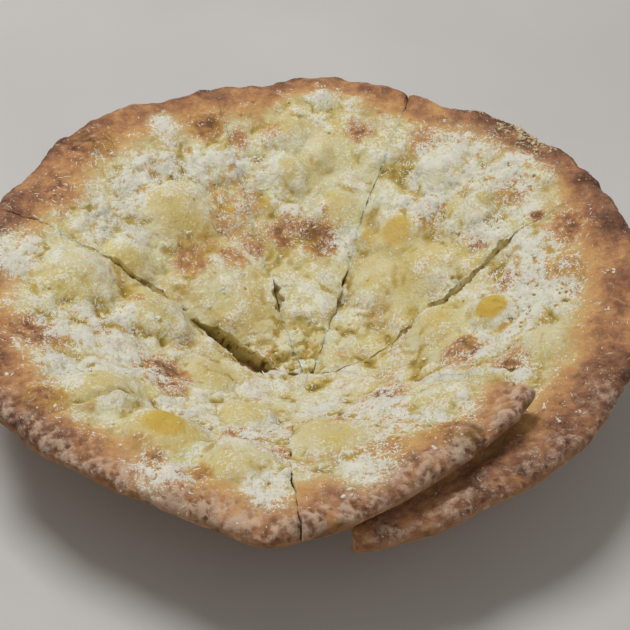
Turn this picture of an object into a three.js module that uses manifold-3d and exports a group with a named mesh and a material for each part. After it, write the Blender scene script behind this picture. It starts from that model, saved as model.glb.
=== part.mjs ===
// A round cheese focaccia cut into eight slices that still keep the whole's shape. It sags like a
// shallow dish and rests on the flat middle of its underside. One slice has slid up over its neighbour.
// Millimetres, +Z up, origin at the middle of the underside.
import * as THREE from "three";
import { mergeVertices } from "three/addons/utils/BufferGeometryUtils.js";
import Module from "manifold-3d";

const { clamp, degToRad, lerp, smoothstep } = THREE.MathUtils;

// The whole round
const rimRadius = 152;
const slopeRadius = 137; // where the slope meets the level rim
const flatRadius = 38; // where the slope meets the level middle
const sag = 50; // from the rim down to the middle
const slopePower = 1.3; // over 1, the slope is gentler near the rim
const flatEase = 8; // rounding between slope and middle
const thickness = 9.5; // of the bread, measured upright
const restDepth = 1.5; // pressed flat under the middle
const noseReach = 10; // how far back from the edge its rounding starts
const rimBead = 2; // how far the rim swells above its band
const beadWidth = 15;

// The cuts
const junction = { x: 2, y: -26 }; // where they meet
const cutGap = 0.8;
const cutLength = 150;
const tipDistance = 2.5; // blunt tip of a slice, from the junction
const slideSpan = 50; // how far along a slice its tip's slide fades out
const narrowest = 0.35; // share of its width that an open cut may take from a slice
const crustDroop = 1.3; // rounding of the top along a cut
const droopWidth = 2.6;
const cornerRound = 2; // rounding of a slice's two rim corners
const cornerPower = 10;

// How finely the slices are faceted
const slopeRows = 16;
const noseRows = 4;
const columnAngle = 4.2; // degrees between columns

// The largest bits of grated cheese
const crumbsPerSlice = 12;
const crumbRadius = { least: 1.6, most: 2.6 };
const crumbFlatness = 0.62;
const crumbSunk = 0.25; // its middle below the top, as a share of its half height
const crumbMargin = 0.14; // kept clear along the cuts, as a share of the width
const crumbSpan = { from: 0.3, to: 0.93 }; // share of the length
const crumbTries = 8;
const crumbSeed = 11;

// Low waves of the whole top: length, direction in degrees, height, phase in degrees
const waves = [
  { length: 47, direction: 20, height: 0.55, phase: 40 },
  { length: 36, direction: 95, height: 0.5, phase: 200 },
  { length: 27, direction: 150, height: 0.4, phase: 310 },
  { length: 21, direction: 60, height: 0.3, phase: 120 },
];

// Waves of the edge: how many go round, depth, phase in degrees
const edgeWaves = [
  { count: 7, depth: 1.0, phase: 30 },
  { count: 13, depth: 0.6, phase: 250 },
  { count: 23, depth: 0.45, phase: 140 },
];

// Places where the edge swells or shrinks: bearing from the junction and reach in degrees, depth
const swells = [
  { bearing: 33, reach: 18, depth: 4.5 },
  { bearing: 66, reach: 10, depth: -5 },
  { bearing: 86, reach: 13, depth: 7 },
  { bearing: 99, reach: 8, depth: -3 },
  { bearing: 130, reach: 18, depth: 7 },
  { bearing: 234, reach: 30, depth: -6 },
  { bearing: 268, reach: 9, depth: 1 },
  { bearing: 310, reach: 30, depth: -3 },
];

// Cuts by bearing from the junction, in degrees from +X; bow is the sideways swing halfway along
const cuts = {
  right: { bearing: 31, bow: 3 },
  backRight: { bearing: 72.5, bow: 4 },
  back: { bearing: 107, bow: 0 },
  backLeft: { bearing: 155, bow: -7 },
  frontLeft: { bearing: 212, bow: 0 },
  front: { bearing: 271, bow: -9 },
  underneath: { bearing: 278, bow: 0 },
  lifted: { bearing: 326, bow: 0 },
  frontRight: { bearing: 340, bow: 4 },
};

const level = { tip: 0, from: 0, to: 0 };
const whole = { from: tipDistance, to: tipDistance };
const unmoved = { from: { x: 0, y: 0 }, to: { x: 0, y: 0 } };

// A dome of the top: bearing and distance from the junction, reach and rise
const dome = (bearing, distance, reach, rise) => ({ bearing, distance, reach, rise });

// Domes that a cut runs through, so that they rise on both its sides
const rightDome = dome(23, 62, 17, 4);
const backRightDome = dome(64, 68, 17, 4);
const backDomes = [dome(121, 66, 32, 8), dome(90, 62, 28, 6)];
const frontLeftDomes = [dome(207, 95, 20, 6), dome(208, 120, 13, 3)];

// Slices, counter-clockwise. lift raises the tip and the rim corners, tip is where it begins along its two cuts,
// slide moves its tip's two corners, bite opens a cut, rim replaces the round's edge.
const slices = [
  {
    name: "slice_right", from: cuts.frontRight, to: cuts.right, colour: 0xcfb478,
    lift: level, tip: { from: 32, to: 12 },
    domes: [dome(13, 84, 13, 5), rightDome, dome(-8, 102, 15, 3.5), dome(15, 119, 13, 2.5), dome(2, 66, 12, 3)],
  },
  {
    name: "slice_back_right", from: cuts.right, to: cuts.backRight, colour: 0xd6c284,
    lift: level, tip: { from: 15, to: 8 },
    domes: [
      dome(60, 129, 16, 4), dome(48, 115, 16, 4), dome(63, 93, 15, 3.5), dome(47, 83, 18, 4), backRightDome,
      rightDome,
    ],
  },
  {
    name: "slice_back", from: cuts.backRight, to: cuts.back, colour: 0xd3bd7a,
    lift: level, tip: { from: 8, to: 8 },
    domes: [
      dome(95, 138, 14, 4.5), dome(95, 118, 14, 4.5), dome(88, 128, 12, 3), dome(83, 101, 13, 3), backRightDome,
      ...backDomes,
    ],
  },
  {
    name: "slice_back_left", from: cuts.back, to: cuts.backLeft, colour: 0xcdb074,
    lift: level, tip: { from: 8, to: 17 }, bite: { to: { at: 42, reach: 30, depth: 8 } },
    domes: [
      dome(126, 108, 24, 6), dome(147, 100, 15, 5.5), dome(131, 162, 14, 2.5), dome(110.5, 150, 10, 2), ...backDomes,
    ],
  },
  {
    name: "slice_left", from: cuts.backLeft, to: cuts.frontLeft, colour: 0xd1bb7c,
    lift: level, slide: { from: { x: -17, y: 7 }, to: { x: -16, y: 7 } },
    bite: { from: { at: 10, reach: 44, depth: 3 } },
    domes: [dome(164, 110, 24, 6), dome(160, 74, 20, 7), dome(184, 45, 16, 3.5), ...frontLeftDomes],
  },
  {
    name: "slice_front_left", from: cuts.frontLeft, to: cuts.front, colour: 0xd5bf7e,
    lift: { tip: 3, from: 0, to: 0 }, slide: { from: { x: -16, y: 7 }, to: { x: 0, y: 7 } },
    domes: [
      dome(231, 90, 23, 7), dome(251, 88, 22, 6), dome(235, 46, 16, 3.5), dome(246, 122, 14, 2.5), ...frontLeftDomes,
    ],
  },
  {
    name: "slice_lifted", from: cuts.front, to: cuts.lifted, colour: 0xc9a56c,
    lift: { tip: 10, from: 2.5, to: 13.5 }, slide: { from: { x: 0, y: 0 }, to: { x: 15.5, y: 0 } },
    rim: { from: 129, to: 110.5, bow: -6.5 },
    domes: [dome(276, 70, 22, 6), dome(316, 74, 17, 3.5), dome(290, 92, 14, 2.5), dome(305, 99, 14, 3)],
  },
  {
    name: "slice_front_right", from: cuts.underneath, to: cuts.frontRight, colour: 0xa87a56,
    lift: { tip: -2.5, from: -9.5, to: 0 }, covered: 0.72, domes: [],
  },
];

const wasm = await Module();
wasm.setup();

// Repeatable random numbers from 0 to 1
function seededRandom(seed) {
  let state = seed;
  return () => {
    state = (Math.imul(state, 1664525) + 1013904223) >>> 0;
    return state / 4294967296;
  };
}

// The smaller of two values, rounded over where they meet
function smoothMin(a, b, ease) {
  const share = clamp(0.5 + (0.5 * (b - a)) / ease, 0, 1);
  return lerp(b, a, share) - ease * share * (1 - share);
}

// Depth of the dish below the rim at a plan radius
function dishDepth(radius) {
  const share = Math.max(0, (slopeRadius - radius) / (slopeRadius - flatRadius));
  return smoothMin(sag * share ** slopePower, sag, flatEase);
}

function waveHeight(x, y) {
  let height = 0;
  for (const wave of waves) {
    const direction = degToRad(wave.direction);
    const travel = x * Math.cos(direction) + y * Math.sin(direction);
    height += wave.height * Math.sin((2 * Math.PI * travel) / wave.length + degToRad(wave.phase));
  }
  return height;
}

function domeHeight(domes, x, y) {
  let height = 0;
  for (const { bearing, distance, reach, rise } of domes) {
    const angle = degToRad(bearing);
    const away = Math.hypot(
      x - junction.x - distance * Math.cos(angle),
      y - junction.y - distance * Math.sin(angle),
    );
    const share = Math.max(0, 1 - (away / reach) ** 2);
    height += rise * share * share;
  }
  return height;
}

// Distance from the junction to the edge of the whole round along a bearing
function roundDistance(bearing) {
  const angle = degToRad(bearing);
  let radius = rimRadius;
  for (const wave of edgeWaves) {
    radius += wave.depth * Math.sin(wave.count * angle + degToRad(wave.phase));
  }
  const toward = junction.x * Math.cos(angle) + junction.y * Math.sin(angle);
  const offset = junction.x ** 2 + junction.y ** 2;
  for (const swell of swells) {
    const turn = ((bearing - swell.bearing + 540) % 360) - 180;
    const share = Math.max(0, 1 - (turn / swell.reach) ** 2);
    radius += swell.depth * share * share;
  }
  return -toward + Math.sqrt(toward ** 2 - offset + radius ** 2);
}

// Distance from the junction to a slice's own rim, at a share across the slice
function rimDistance(slice, across) {
  const corner = cornerRound * Math.abs(2 * across - 1) ** cornerPower;
  if (slice.rim) {
    const { from, to, bow } = slice.rim;
    return lerp(from, to, across) + bow * 4 * across * (1 - across) - corner;
  }
  return roundDistance(lerp(slice.from.bearing, sliceEnd(slice), across)) - corner;
}

// Bearing of a slice's second cut, always past its first
function sliceEnd(slice) {
  const end = slice.to.bearing;
  return end < slice.from.bearing ? end + 360 : end;
}

// Sideways place of a slice's edge off its cut's bearing, in millimetres
function edgeShift(cut, distance, inset) {
  return cut.bow * Math.sin(Math.PI * Math.min(1, distance / cutLength)) + inset;
}

// How far a cut stands open at a slice's side
function edgeInset(slice, bite, distance) {
  if (!bite) return cutGap / 2;
  const share = Math.max(0, 1 - ((distance - bite.at) / bite.reach) ** 2);
  const most = narrowest * distance * degToRad(sliceEnd(slice) - slice.from.bearing);
  return cutGap / 2 + Math.min(bite.depth * share * share, most);
}

// Plan point of a slice at a distance from the junction and a share across
function planPoint(slice, distance, across) {
  const first = edgeShift(slice.from, distance, edgeInset(slice, slice.bite?.from, distance));
  const last = edgeShift(slice.to, distance, -edgeInset(slice, slice.bite?.to, distance));
  const start = degToRad(slice.from.bearing) + first / distance;
  const end = degToRad(sliceEnd(slice)) + last / distance;
  const angle = lerp(start, end, across);
  const { from, to } = slice.slide ?? unmoved;
  const slid = 1 - smoothstep(distance, tipDistance, slideSpan);
  return {
    x: junction.x + distance * Math.cos(angle) + lerp(from.x, to.x, across) * slid,
    y: junction.y + distance * Math.sin(angle) + lerp(from.y, to.y, across) * slid,
    width: distance * (end - start),
  };
}

// How far a slice is raised off the dish
function sliceLift(slice, distance, across) {
  const rim = lerp(slice.lift.from, slice.lift.to, across);
  return lerp(slice.lift.tip, rim, smoothstep(distance, tipDistance, cutLength * 0.63));
}

// Underside and top of a slice at a plan place
function sliceHeights(slice, distance, across) {
  const { x, y, width } = planPoint(slice, distance, across);
  const radius = Math.hypot(x, y);
  const rim = rimDistance(slice, across);
  const lift = sliceLift(slice, distance, across);
  const bed = sag - dishDepth(radius) - restDepth;
  const fromRim = rim - distance;
  const bead = rimBead * smoothstep(fromRim, -beadWidth, 0) * (1 - smoothstep(fromRim, 0, beadWidth));
  const toCut = width * Math.min(across, 1 - across);
  const droop = crustDroop * (1 - smoothstep(toCut, 0, droopWidth));
  const low = Math.max(0, Math.max(0, bed) + lift);
  const high = bed + restDepth + thickness + lift + bead - droop + waveHeight(x, y) + domeHeight(slice.domes, x, y);
  const nose = clamp(1 - fromRim / noseReach, 0, 1);
  const round = Math.sqrt(Math.max(0, 1 - nose * nose));
  const middle = (low + high) / 2;
  const half = (high - low) / 2;
  return { x, y, low: middle - half * round, high: middle + half * round };
}

// Distances from the junction of a slice's rows: even on the slope, closer round the nose
function rowDistances(slice, across) {
  const rim = rimDistance(slice, across);
  const { from, to } = slice.tip ?? whole;
  const distances = [];
  for (let row = 0; row < slopeRows; row += 1) {
    distances.push(lerp(lerp(from, to, across), rim - noseReach, row / slopeRows));
  }
  for (let row = 0; row <= noseRows; row += 1) {
    distances.push(rim - noseReach + noseReach * Math.sin((0.5 * Math.PI * row) / noseRows));
  }
  return distances;
}

// Shares across a slice at a distance: one close to each cut, the rest even
function columnShares(slice, distance, count) {
  const { width } = planPoint(slice, distance, 0.5);
  const edge = Math.min(droopWidth / width, 0.5 / count);
  const shares = [0];
  for (let column = 0; column <= count; column += 1) {
    shares.push(lerp(edge, 1 - edge, column / count));
  }
  shares.push(1);
  return shares;
}

// One slice as a closed mesh: top and underside grids that meet at the nose, walls along the cuts and the tip
function sliceManifold(slice) {
  const span = sliceEnd(slice) - slice.from.bearing;
  const count = Math.round(span / columnAngle);
  const columns = count + 3;
  const rows = slopeRows + noseRows + 1;
  const vertices = [];
  const triangles = [];
  const top = [];
  const under = [];
  for (let row = 0; row < rows; row += 1) {
    top.push([]);
    under.push([]);
    for (let column = 0; column < columns; column += 1) {
      const even = column / (columns - 1);
      const nominal = rowDistances(slice, even)[row];
      const across = columnShares(slice, nominal, count)[column];
      const distance = rowDistances(slice, across)[row];
      const { x, y, low, high } = sliceHeights(slice, distance, across);
      top[row].push(vertices.length / 3);
      vertices.push(x, y, high);
      if (row === rows - 1) {
        under[row].push(top[row][column]);
      } else {
        under[row].push(vertices.length / 3);
        vertices.push(x, y, low);
      }
    }
  }
  const triangle = (a, b, c) => {
    if (a !== b && b !== c && a !== c) triangles.push(a, b, c);
  };
  const quad = (a, b, c, d) => {
    triangle(a, b, c);
    triangle(a, c, d);
  };
  for (let row = 0; row + 1 < rows; row += 1) {
    for (let column = 0; column + 1 < columns; column += 1) {
      quad(top[row][column], top[row + 1][column], top[row + 1][column + 1], top[row][column + 1]);
      quad(under[row][column], under[row][column + 1], under[row + 1][column + 1], under[row + 1][column]);
    }
    const last = columns - 1;
    quad(top[row][0], under[row][0], under[row + 1][0], top[row + 1][0]);
    quad(top[row][last], top[row + 1][last], under[row + 1][last], under[row][last]);
  }
  for (let column = 0; column + 1 < columns; column += 1) {
    quad(top[0][column], top[0][column + 1], under[0][column + 1], under[0][column]);
  }
  return toManifold(vertices, triangles);
}

function toManifold(vertices, triangles) {
  const mesh = new wasm.Mesh({
    numProp: 3,
    vertProperties: new Float32Array(vertices),
    triVerts: new Uint32Array(triangles),
  });
  return new wasm.Manifold(mesh);
}

// A bit of grated cheese, sunk a little into the top of its slice
function crumbManifold(slice, place, random) {
  const radius = lerp(crumbRadius.least, crumbRadius.most, random() ** 2);
  const { x, y, high } = sliceHeights(slice, place.distance, place.across);
  const geometry = new THREE.IcosahedronGeometry(1, 0);
  geometry.scale(radius, radius * lerp(0.6, 0.9, random()), radius * crumbFlatness);
  geometry.rotateZ(2 * Math.PI * random());
  geometry.translate(x, y, high - radius * crumbFlatness * crumbSunk);
  geometry.deleteAttribute("normal");
  geometry.deleteAttribute("uv");
  const merged = mergeVertices(geometry);
  return toManifold(merged.attributes.position.array, merged.index.array);
}

// Places for the bits of cheese: each is the one of a few tries that lies furthest from the rest
function crumbPlaces(slice, random) {
  const places = [];
  while (places.length < crumbsPerSlice) {
    let best = null;
    for (let attempt = 0; attempt < crumbTries; attempt += 1) {
      const across = lerp(Math.max(crumbMargin, slice.covered ?? 0), 1 - crumbMargin, random());
      const along = Math.sqrt(lerp(crumbSpan.from ** 2, crumbSpan.to ** 2, random()));
      const distance = rimDistance(slice, across) * along;
      const { x, y } = planPoint(slice, distance, across);
      const nearest = Math.min(Infinity, ...places.map((place) => Math.hypot(place.x - x, place.y - y)));
      if (!best || nearest > best.nearest) best = { x, y, across, distance, nearest };
    }
    places.push(best);
  }
  return places;
}

// The largest of a solid's bodies, so that no loose scrap stays
function largestBody(solid) {
  return solid.decompose().reduce((kept, body) => (body.volume() > kept.volume() ? body : kept));
}

function toGeometry(manifold) {
  const mesh = manifold.getMesh();
  const geometry = new THREE.BufferGeometry();
  geometry.setAttribute("position", new THREE.BufferAttribute(new Float32Array(mesh.vertProperties), 3));
  geometry.setIndex(new THREE.BufferAttribute(new Uint32Array(mesh.triVerts), 1));
  geometry.computeVertexNormals();
  return geometry;
}

function makeSlice(slice, index) {
  const random = seededRandom(crumbSeed + index);
  let solid = sliceManifold(slice);
  for (const place of crumbPlaces(slice, random)) {
    solid = solid.add(crumbManifold(slice, place, random));
  }
  const material = new THREE.MeshStandardMaterial({ color: slice.colour, roughness: 0.85, metalness: 0 });
  const mesh = new THREE.Mesh(toGeometry(largestBody(solid)), material);
  mesh.name = slice.name;
  return mesh;
}

const focaccia = new THREE.Group();
focaccia.add(...slices.map(makeSlice));
const box = new THREE.Box3().setFromObject(focaccia);
focaccia.position.set(-(box.min.x + box.max.x) / 2, -(box.min.y + box.max.y) / 2, -box.min.z);

export default focaccia;
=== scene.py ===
"""A round cheese focaccia in eight slices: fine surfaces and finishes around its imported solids.

Lengths are millimetres until a mesh is written. Bearings are degrees counter-clockwise from +X, and distances
are measured in plan, both from the junction where the cuts meet.
"""

import logging
import math
from dataclasses import astuple, dataclass
from enum import Enum
from functools import reduce

import bmesh
import bpy
import numpy as np
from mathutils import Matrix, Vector


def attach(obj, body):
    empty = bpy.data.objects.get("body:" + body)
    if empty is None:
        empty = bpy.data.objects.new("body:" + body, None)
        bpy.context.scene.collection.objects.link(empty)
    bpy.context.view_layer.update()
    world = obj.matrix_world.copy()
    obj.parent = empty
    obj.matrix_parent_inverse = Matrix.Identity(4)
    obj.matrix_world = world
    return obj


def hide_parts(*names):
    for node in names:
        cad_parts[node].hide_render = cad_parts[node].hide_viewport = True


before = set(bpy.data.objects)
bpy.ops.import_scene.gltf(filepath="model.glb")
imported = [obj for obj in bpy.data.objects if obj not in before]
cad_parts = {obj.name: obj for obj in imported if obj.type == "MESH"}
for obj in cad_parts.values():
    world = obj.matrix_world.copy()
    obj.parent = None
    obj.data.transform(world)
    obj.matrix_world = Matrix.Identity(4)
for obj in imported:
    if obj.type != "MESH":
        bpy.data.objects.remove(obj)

Array = np.ndarray
Colour = tuple[float, float, float, float]
Socket = bpy.types.NodeSocket
Value = Socket | float | tuple[float, ...]
Pair = tuple[Array, Array]
Span = tuple[float, float]

LOG = logging.getLogger("focaccia")
MM = 0.001
BODY = "root"
BAKE_MAP = "OFBake"


class Slot(str, Enum):
    """Names of the two material slots."""

    BREAD = "browned_crust"
    CHEESE = "grated_cheese"


class Layer(str, Enum):
    """What a vertex carries for the finishes, each from 0 to 1."""

    TOAST = "toast"  # browning
    COVER = "cover"  # pale cheese over the crust
    YOLK = "yolk"  # yellow melted spots
    # Painted shade: darker in pits, creases, crumb holes and deep down the cut faces; yellow in shallow
    # creases, partly the melted cheese's own colour
    HOLLOW = "hollow"  # pits and creases
    CRUMB = "crumb"  # torn or cut face
    UNDER = "underside"
    FLOUR = "flour"
    WHITE = "white"  # crumbly white cheese
    TONE = "tone"  # from white to cream, of scattered cheese


class Region(Enum):
    """Faces of a slice."""

    TOP = 0
    UNDER = 1
    WALL = 2


class Mark(str, Enum):
    """Fields of a slice that hold patches of its top."""

    TOASTS = "toasts"
    YOLKS = "yolks"
    WHITES = "whites"
    SOFTS = "softs"


def lerp(start: Array, end: Array, share: Array) -> Array:
    """Value a share of the way from start to end."""
    return start + (end - start) * share


def smoothstep(value: Array, low: float, high: float) -> Array:
    """Soft step from 0 at low to 1 at high."""
    share = np.clip((value - low) / (high - low), 0.0, 1.0)
    return share * share * (3.0 - 2.0 * share)


def fall(value: Array, low: float, high: float) -> Array:
    """Soft step from 1 at low to 0 at high."""
    return 1.0 - smoothstep(value, low, high)


def unit(value: Array) -> Array:
    """Value held between 0 and 1."""
    return np.clip(value, 0.0, 1.0)


def spare(share: Array, amount: float = 1.0) -> Array:
    """What is left of 1 after an amount of a share."""
    return 1.0 - amount * share


def unit_rows(rows: Array) -> Array:
    """Rows brought to length 1."""
    return rows / np.linalg.norm(rows, axis=1, keepdims=True)


def lengths_along(points: Array) -> Array:
    """Length of a line of points up to each of them."""
    return np.concatenate([[0.0], np.cumsum(np.linalg.norm(np.diff(points, axis=0), axis=1))])


def bump_share(away: Array, reach: Array) -> Array:
    """Round bump of height 1 that ends level at its reach."""
    return np.maximum(0.0, 1.0 - (away / reach) ** 2) ** 2


def srgb(red: int, green: int, blue: int) -> Colour:
    """Linear colour of a screen colour.

    Args:
        red: Red from 0 to 255.
        green: Green from 0 to 255.
        blue: Blue from 0 to 255.

    Returns:
        The linear colour with full alpha.
    """

    def linear(value: int) -> float:
        """One channel in linear light."""
        share = value / 255.0
        return share / 12.92 if share <= 0.04045 else ((share + 0.055) / 1.055) ** 2.4

    return (linear(red), linear(green), linear(blue), 1.0)


@dataclass(frozen=True)
class Noise:
    """Seeded noise over points in millimetres."""

    seed: int
    smooth_gain: float = 1.7
    fractal_gain: float = 1.0 / 1.4
    octave_shift: float = 31.7

    def _bits(self, cell: Array) -> Array:
        """Whole numbers that look random.

        Args:
            cell: Lattice cells, one row each.

        Returns:
            One number for each cell.
        """
        cell = cell.astype(np.uint64)
        mixed = cell[:, 0] * np.uint64(0x9E3779B1) + cell[:, 1] * np.uint64(0x85EBCA77)
        mixed = mixed + cell[:, 2] * np.uint64(0xC2B2AE3D) + np.uint64(self.seed * 7919 + 1)
        mixed = (mixed ^ (mixed >> np.uint64(29))) * np.uint64(0xBF58476D1CE4E5B9)
        mixed = (mixed ^ (mixed >> np.uint64(32))) * np.uint64(0x94D049BB133111EB)
        return mixed ^ (mixed >> np.uint64(31))

    def _spread(self, bits: Array) -> Array:
        """Three numbers from 0 to 1 out of each cell's bits."""
        fields = [(bits >> np.uint64(shift)) & np.uint64(1023) for shift in (3, 17, 31)]
        return np.stack(fields, 1).astype(float) / 1023.0

    def smooth(self, points: Array, length: float) -> Array:
        """Gradient noise, mostly between -1 and 1.

        Args:
            points: Places, one row each.
            length: Size of the bumps.

        Returns:
            One value for each place.
        """
        scaled = points / length
        cell = np.floor(scaled)
        local = scaled - cell
        ease = local**3 * (local * (local * 6.0 - 15.0) + 10.0)
        total = np.zeros(len(points))
        for corner in np.ndindex(2, 2, 2):
            gradient = self._spread(self._bits(cell.astype(np.int64) + np.array(corner))) * 2.0 - 1.0
            weight = np.where(np.array(corner) == 1, ease, 1.0 - ease).prod(1)
            total += weight * ((local - np.array(corner)) * gradient).sum(1)
        return total * self.smooth_gain

    def fractal(self, points: Array, length: float, octaves: int = 3) -> Array:
        """Gradient noise with finer noise on it.

        Args:
            points: Places, one row each.
            length: Size of the largest bumps.
            octaves: How many sizes are added, each half the last.

        Returns:
            One value for each place, mostly between -1 and 1.
        """
        total = np.zeros(len(points))
        for step in range(octaves):
            total += 0.5**step * self.smooth(points + self.octave_shift * step, length * 0.5**step)
        return total * self.fractal_gain

    def cells(self, points: Array, length: float) -> Pair:
        """Distance to the nearest of many scattered seeds.

        Args:
            points: Places, one row each.
            length: Usual spacing of the seeds.

        Returns:
            The distances as shares of the spacing, and a number from 0 to 1 that names each seed.
        """
        scaled = points / length
        base = np.floor(scaled).astype(np.int64)
        nearest = np.full(len(points), np.inf)
        owner = np.zeros(len(points))
        for step in np.ndindex(3, 3, 3):
            cell = base + np.array(step) - 1
            bits = self._bits(cell)
            away = ((scaled - cell - self._spread(bits)) ** 2).sum(1)
            closer = away < nearest
            nearest = np.where(closer, away, nearest)
            owner = np.where(closer, (bits & np.uint64(1023)).astype(float) / 1023.0, owner)
        return np.sqrt(nearest), owner


class DrawnNumbers:
    """Repeatable random numbers from 0 to 1, the same as the solids use."""

    def __init__(self, seed: int) -> None:
        """Start from a seed."""
        self.state = seed

    def next(self) -> float:
        """The next number."""
        self.state = (self.state * 1664525 + 1013904223) % 2**32
        return self.state / 2**32


@dataclass(frozen=True)
class Dish:
    """Form of the whole round, as its solids have it."""

    rim_radius: float = 152.0
    slope_radius: float = 137.0
    flat_radius: float = 38.0
    sag: float = 50.0
    slope_power: float = 1.3
    flat_ease: float = 8.0
    thickness: float = 9.5
    rest_depth: float = 1.5
    nose_reach: float = 10.0
    rim_bead: float = 2.0
    bead_width: float = 15.0
    junction: Span = (2.0, -26.0)
    middle: Span = (-0.513, -1.536)  # of the dish, in the part's frame
    waves: tuple[tuple[float, ...], ...] = (  # of the top: length, direction, height and phase
        (47.0, 20.0, 0.55, 40.0),
        (36.0, 95.0, 0.5, 200.0),
        (27.0, 150.0, 0.4, 310.0),
        (21.0, 60.0, 0.3, 120.0),
    )
    edge_waves: tuple[tuple[float, ...], ...] = (  # of the edge: count, depth and phase
        (7, 1.0, 30.0),
        (13, 0.6, 250.0),
        (23, 0.45, 140.0),
    )
    swells: tuple[tuple[float, ...], ...] = (  # stretches of the edge: bearing, reach and depth
        ((33.0, 18.0, 4.5), (66.0, 10.0, -5.0), (86.0, 13.0, 7.0), (99.0, 8.0, -3.0))
        + ((130.0, 18.0, 7.0), (234.0, 30.0, -6.0), (268.0, 9.0, 1.0), (310.0, 30.0, -3.0))
    )

    def depth(self, radius: Array) -> Array:
        """Depth of the dish below its rim.

        Args:
            radius: Plan distances from its middle.

        Returns:
            One depth for each.
        """
        share = np.maximum(0.0, (self.slope_radius - radius) / (self.slope_radius - self.flat_radius))
        slope = self.sag * share**self.slope_power
        mixing = unit(0.5 + 0.5 * (self.sag - slope) / self.flat_ease)
        return lerp(self.sag, slope, mixing) - self.flat_ease * mixing * spare(mixing)

    def normals(self, x: Array, y: Array) -> Array:
        """Unit normals of the plain DISH.

        Args:
            x: Plan places along X.
            y: Plan places along Y.

        Returns:
            One normal for each place.
        """
        radius = np.maximum(np.hypot(x, y), 1.0)
        steepness = self.depth(radius - 0.5) - self.depth(radius + 0.5)
        return unit_rows(np.stack([-steepness * x / radius, -steepness * y / radius, np.ones_like(x)], 1))

    def ripple(self, x: Array, y: Array) -> Array:
        """Height of the low waves.

        Args:
            x: Plan places along X.
            y: Plan places along Y.

        Returns:
            One height for each place.
        """
        height = np.zeros_like(x)
        for length, direction, rise, phase in self.waves:
            angle = math.radians(direction)
            travel = x * math.cos(angle) + y * math.sin(angle)
            height += rise * np.sin(2.0 * math.pi * travel / length + math.radians(phase))
        return height

    def edge(self, bearing: Array) -> Array:
        """Distance from the junction to the edge of the round.

        Args:
            bearing: Bearings in degrees.

        Returns:
            One distance for each bearing.
        """
        angle = np.radians(bearing)
        radius = np.full_like(angle, self.rim_radius)
        for count, depth, phase in self.edge_waves:
            radius += depth * np.sin(count * angle + math.radians(phase))
        for middle, reach, depth in self.swells:
            turn = (bearing - middle + 540.0) % 360.0 - 180.0
            radius += depth * bump_share(turn, reach)
        toward = self.junction[0] * np.cos(angle) + self.junction[1] * np.sin(angle)
        offset = self.junction[0] ** 2 + self.junction[1] ** 2
        return -toward + np.sqrt(toward**2 - offset + radius**2)

    def plan(self, angle: Array, distance: Array) -> Pair:
        """Plan places at angles in radians and distances from the junction."""
        return self.junction[0] + distance * np.cos(angle), self.junction[1] + distance * np.sin(angle)

    def away(self, x: Array, y: Array, mark: "Spot | Dome") -> Array:
        """Plan distances of places from the middle of a patch or a dome."""
        cx, cy = self.plan(math.radians(mark.bearing), mark.distance)
        return np.hypot(x - cx, y - cy)

    def to_part(self, points: Array) -> Array:
        """Points of the dish's frame, in the part's frame and in metres."""
        return (points + np.array([*self.middle, 0.0])) * MM


DISH = Dish()


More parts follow.
